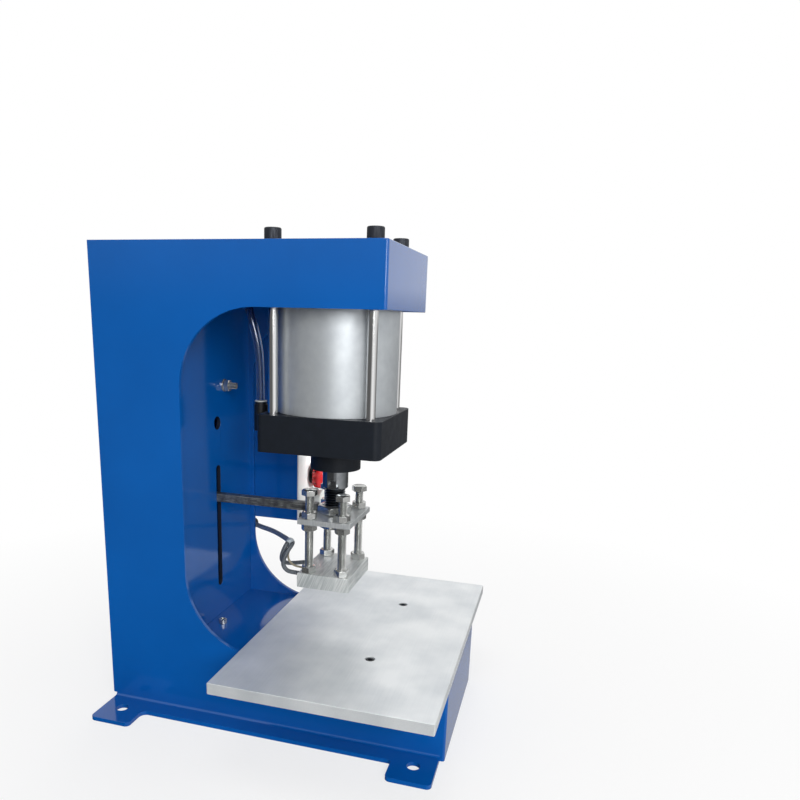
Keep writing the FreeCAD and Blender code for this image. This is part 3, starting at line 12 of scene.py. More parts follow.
import bmesh
import bpy
from mathutils import Matrix, Vector


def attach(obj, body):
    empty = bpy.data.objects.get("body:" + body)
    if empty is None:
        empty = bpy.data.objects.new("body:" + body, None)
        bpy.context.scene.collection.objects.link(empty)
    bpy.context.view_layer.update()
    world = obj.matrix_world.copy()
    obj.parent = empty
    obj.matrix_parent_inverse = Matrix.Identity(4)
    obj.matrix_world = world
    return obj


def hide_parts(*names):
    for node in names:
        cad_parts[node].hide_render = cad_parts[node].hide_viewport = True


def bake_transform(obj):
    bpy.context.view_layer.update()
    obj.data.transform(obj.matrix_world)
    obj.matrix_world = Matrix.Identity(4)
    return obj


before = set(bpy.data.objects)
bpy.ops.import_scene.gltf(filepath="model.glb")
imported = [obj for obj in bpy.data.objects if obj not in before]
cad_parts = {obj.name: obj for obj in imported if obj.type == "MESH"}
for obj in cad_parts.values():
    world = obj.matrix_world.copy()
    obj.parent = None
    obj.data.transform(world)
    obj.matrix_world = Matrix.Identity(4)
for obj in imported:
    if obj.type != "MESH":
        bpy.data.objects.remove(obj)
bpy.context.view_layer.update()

Point = tuple[float, float, float]
MM = 0.001
FULL_TURN = 2 * math.pi
NOISE_SPAN = (0.3, 0.7)
THREAD_DEPTH = 0.6
THREAD_CREST = (0.42, 0.56)
HEXAGON_EASE = 0.577
log = logging.getLogger("hot_stamping_machine")


class Body(str, Enum):
    """The bodies that pieces ride on."""

    FRAME = "frame_body"
    RAM = "ram_body"
    STOP_STEM = "stop_stem_body"
    STOP_HEAD = "stop_head_body"
    START = "start_button_body"
    ROCKER = "power_rocker_body"


class Axis(Enum):
    """Which way a turned piece or a fastener points, as a turn from +Z."""

    UP = Matrix.Identity(4)
    FRONT = Matrix.Rotation(math.pi / 2, 4, "X")
    BACK = Matrix.Rotation(-math.pi / 2, 4, "X")
    RIGHT = Matrix.Rotation(math.pi / 2, 4, "Y")


# Colour and shader nodes

def linear(colour: str) -> tuple[float, float, float, float]:
    """Turn an sRGB hex value into linear light.

    Args:
        colour: six hex digits after a hash.

    Returns:
        Red, green, blue and an alpha of 1.
    """
    parts = [int(colour[i:i + 2], 16) / 255 for i in (1, 3, 5)]
    light = [c / 12.92 if c <= 0.04045 else ((c + 0.055) / 1.055) ** 2.4 for c in parts]
    return light[0], light[1], light[2], 1.0


def add_node(tree: bpy.types.NodeTree, kind: str, inputs: dict | None = None, **settings) -> bpy.types.Node:
    """Add a shader node with its settings, its values and its links.

    Args:
        tree: the material's or the world's node tree.
        kind: the node's type, without the leading ShaderNode.
        inputs: for each input, by name or number, a value or the socket that feeds it.
        settings: the node's own properties.

    Returns:
        The node.
    """
    node = tree.nodes.new("ShaderNode" + kind)
    for name, setting in settings.items():
        setattr(node, name, setting)
    for key, given in (inputs or {}).items():
        if isinstance(given, bpy.types.NodeSocket):
            tree.links.new(given, node.inputs[key])
        else:
            node.inputs[key].default_value = given
    return node


def pattern(tree: bpy.types.NodeTree, size: Point, detail: float = 2.0,
            turn: Point = (0.0, 0.0, 0.0)) -> bpy.types.NodeSocket:
    """A random pattern with features of a real size, fixed to the piece.

    Args:
        tree: the material's node tree.
        size: length of one feature along each axis, in metres.
        detail: how many finer patterns are laid over it.
        turn: how far the pattern is turned, in radians.

    Returns:
        The pattern, from 0 to 1, mostly within NOISE_SPAN.
    """
    here = add_node(tree, "TexCoord").outputs["Object"]
    turned_here = add_node(tree, "Mapping", {"Vector": here, "Rotation": turn}).outputs["Vector"]
    scale = tuple(1 / length for length in size)
    measured = add_node(tree, "Mapping", {"Vector": turned_here, "Scale": scale}).outputs["Vector"]
    return add_node(tree, "TexNoise", {"Vector": measured, "Scale": 1.0, "Detail": detail}).outputs["Fac"]


def tint(tree: bpy.types.NodeTree, amount: bpy.types.NodeSocket, low: str, high: str,
         span: tuple[float, float] = NOISE_SPAN) -> bpy.types.NodeSocket:
    """A colour between two hex values as a pattern goes over its span.

    Args:
        tree: the material's node tree.
        amount: the pattern.
        low: hex value where the pattern is low.
        high: hex value where it is high.
        span: the pattern's values at the two colours.

    Returns:
        The colour.
    """
    even = add_node(tree, "MapRange", {"Value": amount, "From Min": span[0], "From Max": span[1]})
    return add_node(tree, "Mix", {"Factor": even.outputs["Result"], 6: linear(low), 7: linear(high)},
                    data_type="RGBA").outputs[2]


# Finishes

@dataclass(frozen=True)
class Finish:
    """A finish: its name, the record's slot, its colour and the shader's plain numbers."""

    name: str
    slot: str
    colour: str
    shade: str
    roughness: float = 0.5
    metallic: float = 0.0
    coat: float = 0.0
    specular: float = 0.5

    def material(self) -> bpy.types.Material:
        """The material, made on its first use.

        Returns:
            The material.
        """
        made = bpy.data.materials.get(self.name)
        if made:
            return made
        made = bpy.data.materials.new(self.name)
        made.use_nodes = True
        shader = made.node_tree.nodes["Principled BSDF"]
        shader.inputs["Base Color"].default_value = linear(self.colour)
        shader.inputs["Roughness"].default_value = self.roughness
        shader.inputs["Metallic"].default_value = self.metallic
        shader.inputs["Coat Weight"].default_value = self.coat
        shader.inputs["Specular IOR Level"].default_value = self.specular
        self.dress(made.node_tree, shader)
        return made

    def dress(self, tree: bpy.types.NodeTree, shader: bpy.types.Node) -> None:
        """Add the finish's own pattern to its shader."""

    def gloss(self, tree: bpy.types.NodeTree, shader: bpy.types.Node, amount: bpy.types.NodeSocket,
              spread: float) -> None:
        """Make the surface duller where a pattern is low, and shinier where it is high.

        Args:
            tree: the material's node tree.
            shader: the Principled shader.
            amount: the pattern.
            spread: how far the roughness goes to either side.
        """
        rough = add_node(tree, "MapRange", {"Value": amount, "From Min": NOISE_SPAN[0], "From Max": NOISE_SPAN[1],
                                            "To Min": self.roughness + spread, "To Max": self.roughness - spread})
        tree.links.new(rough.outputs["Result"], shader.inputs["Roughness"])

    def relief(self, tree: bpy.types.NodeTree, shader: bpy.types.Node, height: bpy.types.NodeSocket,
               depth: float, strength: float = 1.0) -> None:
        """Feed a height pattern to the shader's normals, and to its coat's.

        Args:
            tree: the material's node tree.
            shader: the Principled shader.
            height: the pattern, from 0 to 1.
            depth: how deep the pattern is, in metres.
            strength: how much of it shows.
        """
        bump = add_node(tree, "Bump", {"Height": height, "Distance": depth, "Strength": strength})
        tree.links.new(bump.outputs["Normal"], shader.inputs["Normal"])
        if self.coat:
            tree.links.new(bump.outputs["Normal"], shader.inputs["Coat Normal"])


@dataclass(frozen=True)
class PowderCoat(Finish):
    """Baked powder paint: a glossy skin with orange peel, and a slow drift of colour."""

    peel: float = 1.6 * MM
    peel_depth: float = 0.012 * MM
    drift: float = 150 * MM
    skin: float = 0.1

    def dress(self, tree: bpy.types.NodeTree, shader: bpy.types.Node) -> None:
        """Orange peel in the skin and a slow drift of colour.

        Args:
            tree: the material's node tree.
            shader: the Principled shader.
        """
        shader.inputs["Coat Roughness"].default_value = self.skin
        drift = pattern(tree, (self.drift,) * 3, 3)
        tree.links.new(tint(tree, drift, self.shade, self.colour), shader.inputs["Base Color"])
        self.relief(tree, shader, pattern(tree, (self.peel,) * 3, 1), self.peel_depth, strength=0.8)


@dataclass(frozen=True)
class Streaked(Finish):
    """Metal drawn, rolled or sawn in one direction: streaks that are long one way and fine across."""

    streak: Point = (40 * MM, 0.5 * MM, 0.5 * MM)
    turn: Point = (0.0, 0.0, 0.0)
    depth: float = 0.01 * MM
    spread: float = 0.08
    share: float = 0.5
    cloud: float = 60 * MM
    span: tuple[float, float] = (0.35, 0.65)

    def dress(self, tree: bpy.types.NodeTree, shader: bpy.types.Node) -> None:
        """Streaks in colour, gloss and height, with soft clouds where hands and cloths have been.

        Args:
            tree: the material's node tree.
            shader: the Principled shader.
        """
        lines = pattern(tree, self.streak, 3, self.turn)
        clouds = pattern(tree, (self.cloud,) * 3, 3)
        both = add_node(tree, "Mix", {0: self.share, 2: clouds, 3: lines}).outputs[0]
        tree.links.new(tint(tree, both, self.shade, self.colour, self.span), shader.inputs["Base Color"])
        self.gloss(tree, shader, both, self.spread)
        self.relief(tree, shader, lines, self.depth, strength=0.6)


@dataclass(frozen=True)
class Grained(Finish):
    """Moulded, blasted or plated surfaces: an even grain, drawn coarser than the real one so that it shows."""

    grain: float = 0.6 * MM
    depth: float = 0.01 * MM
    mottle: float = 14 * MM
    spread: float = 0.05

    def dress(self, tree: bpy.types.NodeTree, shader: bpy.types.Node) -> None:
        """A fine grain in height and a faint mottle in colour and gloss.

        Args:
            tree: the material's node tree.
            shader: the Principled shader.
        """
        grain = pattern(tree, (self.grain,) * 3, 2)
        mottle = pattern(tree, (self.mottle,) * 3, 3)
        tree.links.new(tint(tree, mottle, self.shade, self.colour), shader.inputs["Base Color"])
        self.gloss(tree, shader, mottle, self.spread)
        self.relief(tree, shader, grain, self.depth, strength=0.5)


@dataclass(frozen=True)
class Scaled(Finish):
    """Hot-rolled bar with its dark scale rubbed off in scratches along its length."""

    bare: str = "#8d9092"
    flake: float = 7 * MM
    scratch: Point = (0.6 * MM, 30 * MM, 0.6 * MM)
    worn: tuple[float, float] = (0.6, 0.68)
    depth: float = 0.03 * MM

    def dress(self, tree: bpy.types.NodeTree, shader: bpy.types.Node) -> None:
        """Dark mottled scale, with bright scratches that run along Y.

        Args:
            tree: the material's node tree.
            shader: the Principled shader.
        """
        mottle = pattern(tree, (self.flake,) * 3, 5)
        scale = tint(tree, mottle, self.shade, self.colour)
        scratch = pattern(tree, self.scratch, 4)
        mask = add_node(tree, "MapRange", {"Value": scratch, "From Min": self.worn[0], "From Max": self.worn[1]})
        skin = add_node(tree, "Mix", {"Factor": mask.outputs["Result"], 6: scale, 7: linear(self.bare)},
                        data_type="RGBA").outputs[2]
        tree.links.new(skin, shader.inputs["Base Color"])
        self.relief(tree, shader, mottle, self.depth, strength=0.6)


@dataclass(frozen=True)
class Braided(Finish):
    """Woven sleeving on a round lead: two sets of strands cross at a slant, drawn along the lead's UV map."""

    turns: float = 20.0
    strands: float = 8.0
    depth: float = 0.25 * MM

    def dress(self, tree: bpy.types.NodeTree, shader: bpy.types.Node) -> None:
        """Crossing strands in height, with painted light and shade in colour: lighter where a strand rises, darker
        where it dips under.

        Args:
            tree: the material's node tree.
            shader: the Principled shader.
        """
        where = add_node(tree, "UVMap", uv_map="sleeve").outputs["UV"]
        along_around = add_node(tree, "SeparateXYZ", {"Vector": where}).outputs
        along = add_node(tree, "Math", {0: along_around[0], 1: self.turns * FULL_TURN}, operation="MULTIPLY")
        around = add_node(tree, "Math", {0: along_around[1], 1: self.strands * FULL_TURN}, operation="MULTIPLY")
        waves = []
        for sign in ("ADD", "SUBTRACT"):
            slant = add_node(tree, "Math", {0: along.outputs[0], 1: around.outputs[0]}, operation=sign)
            waves.append(add_node(tree, "Math", {0: slant.outputs[0]}, operation="SINE").outputs[0])
        weave = add_node(tree, "Math", {0: waves[0], 1: waves[1]}, operation="MULTIPLY").outputs[0]
        height = add_node(tree, "MapRange", {"Value": weave, "From Min": -1.0, "From Max": 1.0}).outputs["Result"]
        # Painted light and shade: the weave's height also sets the colour, light on the crests and dark in the valleys.
        tree.links.new(tint(tree, height, self.shade, self.colour), shader.inputs["Base Color"])
        self.relief(tree, shader, height, self.depth)


@dataclass(frozen=True)
class ClearTube(Finish):
    """Smoke-tinted polyurethane hose that lets light through."""

    drawn: Point = (2 * MM, 2 * MM, 40 * MM)
    depth: float = 0.006 * MM
    clearness: float = 0.92
    index: float = 1.5

    def dress(self, tree: bpy.types.NodeTree, shader: bpy.types.Node) -> None:
        """Clear body with fine drawing lines in its skin.

        Args:
            tree: the material's node tree.
            shader: the Principled shader.
        """
        shader.inputs["Transmission Weight"].default_value = self.clearness
        shader.inputs["IOR"].default_value = self.index
        lines = pattern(tree, self.drawn, 2)
        tree.links.new(tint(tree, lines, self.shade, self.colour), shader.inputs["Base Color"])
        self.relief(tree, shader, lines, self.depth, strength=0.3)


@dataclass(frozen=True)
class Lamp(Finish):
    """Lit segments of a display."""

    strength: float = 1.0

    def dress(self, tree: bpy.types.NodeTree, shader: bpy.types.Node) -> None:
        """A steady glow of the lamp's own colour."""
        shader.inputs["Emission Color"].default_value = linear(self.colour)
        shader.inputs["Emission Strength"].default_value = self.strength


# Mild steel with baked powder paint: glossy, with orange peel that breaks up every reflection.
BLUE_POWDER = PowderCoat("blue_powder_coat", "frame_paint", "#055db0", "#0456a5", 0.5, 0.0, 1.0, 0.0)
# The walls of the web's cut openings: painted shade, a nearly black blue where the openings lie in shadow.
PAINTED_SHADE_IN_OPENINGS = Grained("painted_shade_in_openings", "frame_paint", "#03152f", "#020d20", 0.6, grain=0.8 * MM)
# Powder-coated panel: an even white with a soft sheen.
WHITE_POWDER = PowderCoat("white_powder_coat", "panel_white", "#f0f1f0", "#eaebea", 0.4, 0.0, 0.5)
# Rolled, lightly brushed aluminium plate: pale and satin, with soft clouds and faint lines, drawn coarser than real.
TABLE_ALUMINIUM = Streaked("brushed_aluminium_plate", "milled_aluminium", "#edf0f1", "#d3d8db", 0.33, 0.36,
                           streak=(90 * MM, 1.6 * MM, 1.6 * MM), depth=0.001 * MM, spread=0.04, share=0.14)
# Sawn aluminium bar: slanting saw marks catch the light in bands. They are drawn wider than a saw leaves them.
SAWN_ALUMINIUM = Streaked("sawn_aluminium", "block_aluminium", "#e8eae8", "#a2a8a9", 0.38, 0.2,
                          streak=(26 * MM, 1.1 * MM, 24 * MM), turn=(-0.4, 0.0, 0.0), depth=0.05 * MM)
# Blasted and anodised aluminium tube: silky grey, which blurs what it mirrors into one wide band of light.
ANODISED_ALUMINIUM = Grained("clear_anodised_aluminium", "cylinder_aluminium", "#c3c8cb", "#b7bcc0", 0.42, 0.6,
                             grain=0.5 * MM, depth=0.008 * MM)
# Black-anodised aluminium: dull and nearly black, a little blue, with hardly any highlight.
BLACK_ANODISED = Grained("black_anodised_aluminium", "black_aluminium", "#1a1f27", "#151a21", 0.45, 0.0, specular=0.2,
                         grain=0.5 * MM, depth=0.012 * MM)
# Zinc-plated fasteners: bright facets and dark ones side by side, on a faint cloudy grey.
ZINC_STEEL = Grained("zinc_plated_steel", "bright_steel", "#d8d9d7", "#b4b6b4", 0.18, 0.9,
                     grain=0.5 * MM, depth=0.006 * MM)
# Laser-cut steel plate: pale grey, with fine upright lines down its cut edges.
CUT_STEEL = Streaked("laser_cut_steel", "bright_steel", "#dcdfe0", "#aaaeb0", 0.36, 0.45,
                     streak=(0.7 * MM, 0.7 * MM, 12 * MM), depth=0.03 * MM)
# Blackened steel screws: blue-black with a soft gleam on every edge.
BLACK_OXIDE = Grained("black_oxide_steel", "dark_steel", "#2b2f36", "#22252b", 0.42, 0.6, grain=0.4 * MM)
# Hot-rolled square bar: mottled dark scale with bright scratches along its length.
MILL_SCALE = Scaled("mill_scale_steel", "dark_steel", "#7f817f", "#3e4145", 0.36, 0.6, bare="#deded8")
# Hard-chromed rods: a clean mirror with sharp bright and dark lines.
CHROME = Grained("hard_chrome", "hard_chrome", "#d9dbdc", "#cfd2d4", 0.08, 1.0, grain=0.8 * MM, depth=0.001 * MM)
# Ground steel rod: a greyer mirror, a little blurred.
GROUND_STEEL = Grained("ground_steel", "hard_chrome", "#a3a7ab", "#85898d", 0.16, 1.0, grain=0.8 * MM,
                       depth=0.004 * MM)
# Cut steel thread: darker steel than the rod all over, with light only on its crests.
THREAD_STEEL = Grained("dark_thread_steel", "bright_steel", "#4e5358", "#3a3f44", 0.34, 1.0, grain=0.6 * MM)
# Turned bronze bush: warm brown metal.
BRONZE = Grained("turned_bronze", "bronze", "#b4823f", "#a07234", 0.35, 1.0)
# Nickel plate over turned brass: silver with a warm cast.
NICKEL = Grained("nickel_plated_brass", "nickel_brass", "#c3bda8", "#aca691", 0.25, 1.0)
# Moulded nitrile rubber: black and quite matt.
RUBBER = Grained("nitrile_rubber", "seal_rubber", "#1a1a1b", "#141415", 0.75, grain=0.8 * MM)
# Moulded glass-filled nylon: black, with a fine grain that spreads its highlights.
BLACK_PLASTIC = Grained("black_glass_filled_nylon", "black_plastic", "#17191d", "#101216", 0.4, grain=0.5 * MM)
# Moulded ABS: light grey and satin.
GREY_PLASTIC = Grained("grey_moulded_abs", "grey_plastic", "#d3d6d3", "#c8cbc8", 0.3)
# Polished ABS: signal red with clear highlights.
RED_PLASTIC = Grained("red_moulded_abs", "red_plastic", "#c4161c", "#b01218", 0.22, coat=0.3)
# Drawn polyurethane hose: clear and bluish, dark against the frame, with bright lines along its sides.
HOSE = ClearTube("smoked_polyurethane_hose", "hose_plastic", "#8fa9cf", "#7e9ac4", 0.04, coat=1.0)
# Braided sleeves: strands that cross at a slant, painted lighter where they rise and darker, as painted shade, where
# they dip under. Their counts are lower than real ones.
CABLE_BRAID = Braided("grey_cable_braid", "braid", "#c3c8cd", "#666c75", 0.4, 0.4, turns=34, strands=6)
LEAD_BRAID = Braided("dark_lead_sleeve", "lead_sleeve", "#7c838a", "#282c31", 0.42, 0.2, turns=22, strands=5)
PALE_BRAID = Braided("pale_lead_sleeve", "pale_sleeve", "#c9bfa8", "#93876d", 0.6, turns=24, strands=4)
# Shrunk polyolefin sleeve: pale and slightly lumpy.
SHRINK = Grained("grey_shrink_sleeve", "braid", "#cfd8de", "#aab5bd", 0.3, grain=1.2 * MM, depth=0.05 * MM)
# Smoked acrylic window: black, with sharp reflections.
DARK_WINDOW = Grained("smoked_acrylic_window", "black_plastic", "#0c0e12", "#090b0e", 0.08, coat=0.5)
# Lit segments: flat colour that glows by itself.
RED_DIGITS = Lamp("red_led_segments", "red_plastic", "#ff3a22", "#ff3a22", 0.4)
GREEN_DIGITS = Lamp("green_led_segments", "grey_plastic", "#3ee06a", "#3ee06a", 0.4)
# Printed ink: flat, matt white.
WHITE_INK = Grained("white_printed_ink", "panel_white", "#e9eae8", "#dcdddb", 0.5)


# Bench work: the operators' helpers

def clear_selection() -> None:
    """Leave edit mode and select nothing."""
    if bpy.context.object and bpy.context.object.mode != "OBJECT":
        bpy.ops.object.mode_set(mode="OBJECT")
    bpy.ops.object.select_all(action="DESELECT")


def pick(*pieces: bpy.types.Object) -> bpy.types.Object:
    """Select these pieces only, the first of them active.

    Args:
        pieces: the pieces.

    Returns:
        The first piece.
    """
    clear_selection()
    for piece in pieces:
        piece.select_set(True)
    bpy.context.view_layer.objects.active = pieces[0]
    return pieces[0]


def settle(piece: bpy.types.Object) -> bpy.types.Object:
    """Put a piece's place, turn and size into its mesh.

    Args:
        piece: the piece.

    Returns:
        The same piece, at the origin.
    """
    pick(piece)
    bpy.ops.object.transform_apply(location=True, rotation=True, scale=True)
    return piece


def named(name: str) -> bpy.types.Object:
    """Name the active object and its mesh.

    Args:
        name: the new name.

    Returns:
        The active object.
    """
    piece = bpy.context.object
    piece.name = name
    piece.data.name = name
    return piece


def block(name: str, low: Point, high: Point) -> bpy.types.Object:
    """A cuboid between two corners, ready to be shaped.

    Args:
        name: the piece's name.
        low: the corner with the least x, y and z, in metres.
        high: the corner opposite.

    Returns:
        The cuboid.
    """
    clear_selection()
    centre = [(a + b) / 2 for a, b in zip(low, high)]
    bpy.ops.mesh.primitive_cube_add(size=1, location=centre)
    piece = named(name)
    piece.scale = [b - a for a, b in zip(low, high)]
    return settle(piece)


def bar(name: str, radius: float, length: float, sides: int = 48) -> bpy.types.Object:
    """A cylinder or prism that stands on the origin, with a flat side square to Y.

    Args:
        name: the piece's name.
        radius: out to its corners, in metres.
        length: of the bar.
        sides: how many flat sides it has.

    Returns:
        The bar.
    """
    clear_selection()
    bpy.ops.mesh.primitive_cylinder_add(vertices=sides, radius=radius, depth=length,
                                        location=(0, 0, length / 2), rotation=(0, 0, math.pi / sides))
    return settle(named(name))


def put(piece: bpy.types.Object, place: Point = (0, 0, 0), way: Axis = Axis.UP, spin: float = 0.0) -> bpy.types.Object:
    """Turn a piece about its own axis, point it and move it, all in its mesh.

    Args:
        piece: a mesh built about the origin, along +Z.
        place: where its origin goes.
        way: where its +Z goes.
        spin: turn about its own axis first, in radians.

    Returns:
        The piece.
    """
    piece.data.transform(Matrix.Translation(place) @ way.value @ Matrix.Rotation(spin, 4, "Z"))
    piece.data.update()
    return piece


def twin(piece: bpy.types.Object, name: str) -> bpy.types.Object:
    """A copy of a piece with its own mesh.

    Args:
        piece: the piece to copy.
        name: the copy's name.

    Returns:
        The copy.
    """
    pick(piece)
    bpy.ops.object.duplicate(linked=False)
    return named(name)


def fuse(name: str, pieces: Sequence[bpy.types.Object]) -> bpy.types.Object:
    """Join pieces into one object.

    Args:
        name: the joined object's name.
        pieces: the pieces, of which the first takes in the others.

    Returns:
        The joined object.
    """
    pick(*pieces)
    if len(pieces) > 1:
        bpy.ops.object.join()
    return named(name)


def apply_modifier(piece: bpy.types.Object, kind: str, **settings) -> bpy.types.Object:
    """Add a modifier with its settings and apply it.

    Args:
        piece: the piece.
        kind: the modifier's type.
        settings: the modifier's own properties.

    Returns:
        The piece.
    """
    pick(piece)
    modifier = piece.modifiers.new(kind.lower(), kind)
    for name, setting in settings.items():
        setattr(modifier, name, setting)
    bpy.ops.object.modifier_apply(modifier=modifier.name)
    return piece


def carve(piece: bpy.types.Object, tool: bpy.types.Object, operation: str = "DIFFERENCE") -> bpy.types.Object:
    """Take a tool out of a piece, or keep what they share, and remove the tool.

    Args:
        piece: the piece.
        tool: the mesh that cuts.
        operation: DIFFERENCE or INTERSECT.

    Returns:
        The piece.
    """
    apply_modifier(piece, "BOOLEAN", object=tool, operation=operation, solver="EXACT")
    bpy.data.objects.remove(tool)
    return piece


def smooth(piece: bpy.types.Object, degrees: float = 35.0) -> bpy.types.Object:
    """Smooth shading except over corners sharper than the angle.

    Args:
        piece: the piece.
        degrees: the angle from which a corner stays sharp.

    Returns:
        The piece.
    """
    pick(piece)
    bpy.ops.object.shade_smooth_by_angle(angle=math.radians(degrees))
    return piece


def soften(piece: bpy.types.Object, width: float, segments: int = 2, degrees: float = 35.0) -> bpy.types.Object:
    """Round a piece's sharp edges and shade it smooth.

    Args:
        piece: the piece.
        width: of the rounding, in metres.
        segments: of the rounding.
        degrees: the angle from which an edge is sharp.

    Returns:
        The piece.
    """
    smooth(piece, degrees)
    return apply_modifier(piece, "BEVEL", width=width, segments=segments, limit_method="ANGLE",
                          angle_limit=math.radians(degrees), use_clamp_overlap=False, harden_normals=True)


def soften_free_edges(piece: bpy.types.Object, width: float, flush: Callable[[Vector], bool],
                      degrees: float = 35.0) -> bpy.types.Object:
    """Round a plate's sharp edges, except those that lie flush in a ground weld.

    Args:
        piece: the plate.
        width: of the rounding, in metres.
        flush: tells from the middle of an edge whether a weld covers it.
        degrees: the angle from which an edge is sharp.

    Returns:
        The piece.
    """
    pick(piece)
    bpy.ops.object.mode_set(mode="EDIT")
    bpy.ops.mesh.select_mode(type="EDGE")
    bpy.ops.mesh.select_all(action="DESELECT")
    mesh = bmesh.from_edit_mesh(piece.data)
    for edge in mesh.edges:
        middle = (edge.verts[0].co + edge.verts[1].co) / 2
        sharp = edge.is_manifold and edge.calc_face_angle(0.0) > math.radians(degrees)
        edge.select_set(sharp and not flush(middle))
    mesh.select_flush_mode()
    bmesh.update_edit_mesh(piece.data)
    bpy.ops.mesh.bevel(offset=width, segments=2, clamp_overlap=False)
    bpy.ops.object.mode_set(mode="OBJECT")
    smooth(piece, degrees)
    return apply_modifier(piece, "WEIGHTED_NORMAL", keep_sharp=True, weight=100)


def choose_faces(piece: bpy.types.Object, wanted: Callable[[Vector, Vector], bool]) -> None:
    """Enter edit mode with only the faces selected whose centre and normal are wanted.

    Args:
        piece: the piece.
        wanted: tells from a face's centre and normal whether it is wanted.
    """
    pick(piece)
    bpy.ops.object.mode_set(mode="EDIT")
    bpy.ops.mesh.select_mode(type="FACE")
    bpy.ops.mesh.select_all(action="DESELECT")
    mesh = bmesh.from_edit_mesh(piece.data)
    for face in mesh.faces:
        face.select_set(wanted(face.calc_center_median(), face.normal))
    bmesh.update_edit_mesh(piece.data)


def mend_normals(piece: bpy.types.Object) -> bpy.types.Object:
    """Merge doubles and point every face outwards.

    Args:
        piece: the piece.

    Returns:
        The piece.
    """
    pick(piece)
    bpy.ops.object.mode_set(mode="EDIT")
    bpy.ops.mesh.select_all(action="SELECT")
    bpy.ops.mesh.remove_doubles(threshold=1e-6)
    bpy.ops.mesh.normals_make_consistent(inside=False)
    bpy.ops.object.mode_set(mode="OBJECT")
    return piece


def outline_of(name: str, corners: Sequence[tuple[float, float]]) -> bpy.types.Object:
    """An open chain of edges in the XZ plane, extruded point by point from one vertex.

    Args:
        name: the piece's name.
        corners: radius and height of each point, in metres.

    Returns:
        The chain, in edit mode, all selected.
    """
    clear_selection()
    bpy.ops.mesh.primitive_plane_add(size=MM)
    piece = named(name)
    bpy.ops.object.mode_set(mode="EDIT")
    bpy.ops.mesh.select_all(action="SELECT")
    bpy.ops.mesh.merge(type="CENTER")
    bpy.ops.mesh.select_mode(type="VERT")
    bpy.ops.mesh.select_all(action="SELECT")
    at = (0.0, 0.0)
    for index, corner in enumerate(corners):
        step = (corner[0] - at[0], 0, corner[1] - at[1])
        if index:
            bpy.ops.mesh.extrude_region_move(TRANSFORM_OT_translate={"value": step})
        else:
            bpy.ops.transform.translate(value=step)
        at = corner
    bpy.ops.mesh.select_all(action="SELECT")
    return piece


def turned(name: str, corners: Sequence[tuple[float, float]], steps: int = 64) -> bpy.types.Object:
    """A lathe-turned piece about Z through (radius, height) corners.

    Args:
        name: the piece's name.
        corners: of the profile, in metres.
        steps: around the turn.

    Returns:
        The closed piece.
    """
    piece = outline_of(name, corners)
    bpy.ops.mesh.spin(steps=steps, angle=FULL_TURN, center=(0, 0, 0), axis=(0, 0, 1))
    bpy.ops.object.mode_set(mode="OBJECT")
    return mend_normals(piece)


def threaded(name: str, diameter: float, pitch: float, length: float, steps: int = 24) -> bpy.types.Object:
    """A threaded stud from the origin upwards, a true helix cut square at both ends.

    Args:
        name: the piece's name.
        diameter: over the crests, in metres.
        pitch: from crest to crest.
        length: of the stud.
        steps: points around one turn.

    Returns:
        The closed mesh.
    """
    crest, root = diameter / 2, diameter / 2 - THREAD_DEPTH * pitch
    low, high = (share * pitch for share in THREAD_CREST)
    piece = outline_of(name, [(root, 0), (crest, low), (crest, high), (root, pitch)])
    bpy.ops.object.mode_set(mode="OBJECT")
    apply_modifier(piece, "SCREW", angle=FULL_TURN, screw_offset=pitch, iterations=math.ceil(length / pitch) + 3,
                   steps=steps, render_steps=steps, use_merge_vertices=True)
    put(piece, (0, 0, -1.5 * pitch))
    mend_normals(piece)
    for level, way in ((0.0, -1), (length, 1)):
        pick(piece)
        bpy.ops.object.mode_set(mode="EDIT")
        bpy.ops.mesh.select_all(action="SELECT")
        bpy.ops.mesh.bisect(plane_co=(0, 0, level), plane_no=(0, 0, way), use_fill=True, clear_outer=True)
        bpy.ops.object.mode_set(mode="OBJECT")
    return smooth(mend_normals(piece), 50)


def eased_copy(node: str, width: float = 0.5 * MM, segments: int = 2,
               flush: Callable[[Vector], bool] | None = None) -> bpy.types.Object:
    """A CAD node's shape with its loose triangles merged and its sharp edges rounded.

    Args:
        node: the CAD node that the copy stands for.
        width: of the rounding, in metres.
        segments: of the rounding.
        flush: tells which edges stay sharp, where a weld is ground flush.

    Returns:
        The new piece, which replaces the node.
    """
    piece = twin(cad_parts[node], node + "_eased")
    piece.parent = None
    for key in list(piece.keys()):
        if key.startswith("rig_"):
            del piece[key]
    piece.data.materials.clear()
    bpy.ops.object.mode_set(mode="EDIT")
    bpy.ops.mesh.select_all(action="SELECT")
    bpy.ops.mesh.customdata_custom_splitnormals_clear()
    bpy.ops.mesh.remove_doubles(threshold=2e-6)
    bpy.ops.mesh.dissolve_limited(angle_limit=math.radians(0.6))
    bpy.ops.object.mode_set(mode="OBJECT")
    if flush:
        soften_free_edges(piece, width, flush)
    elif width:
        soften(piece, width, segments)
    else:
        smooth(piece)
    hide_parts(node)
    return piece


def dress(piece: bpy.types.Object, finish: Finish, body: Body | None, *nodes: str) -> bpy.types.Object:
    """Give a piece its finish and its body, if one carries it whole, and hide the CAD nodes that it stands for.

    Args:
        piece: the piece.
        finish: its finish.
        body: the body that it rides on.
        nodes: the CAD nodes that it stands for.

    Returns:
        The piece.
    """
    piece.data.materials.clear()
    piece.data.materials.append(finish.material())
    if body:
        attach(piece, body.value)
    if nodes:
        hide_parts(*nodes)
    log.info("%s: %s, %d faces", piece.name, finish.name, len(piece.data.polygons))
    return piece


def refinish(finish: Finish, *nodes: str) -> None:
    """Give CAD nodes that keep their shape a finish.

    Args:
        finish: their finish.
        nodes: the CAD nodes' names.
    """
    for name in nodes:
        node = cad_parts[name]
        if not node.material_slots:
            node.data.materials.append(None)
        for material_slot in node.material_slots:
            material_slot.material = finish.material()
        log.info("%s: %s", name, finish.name)


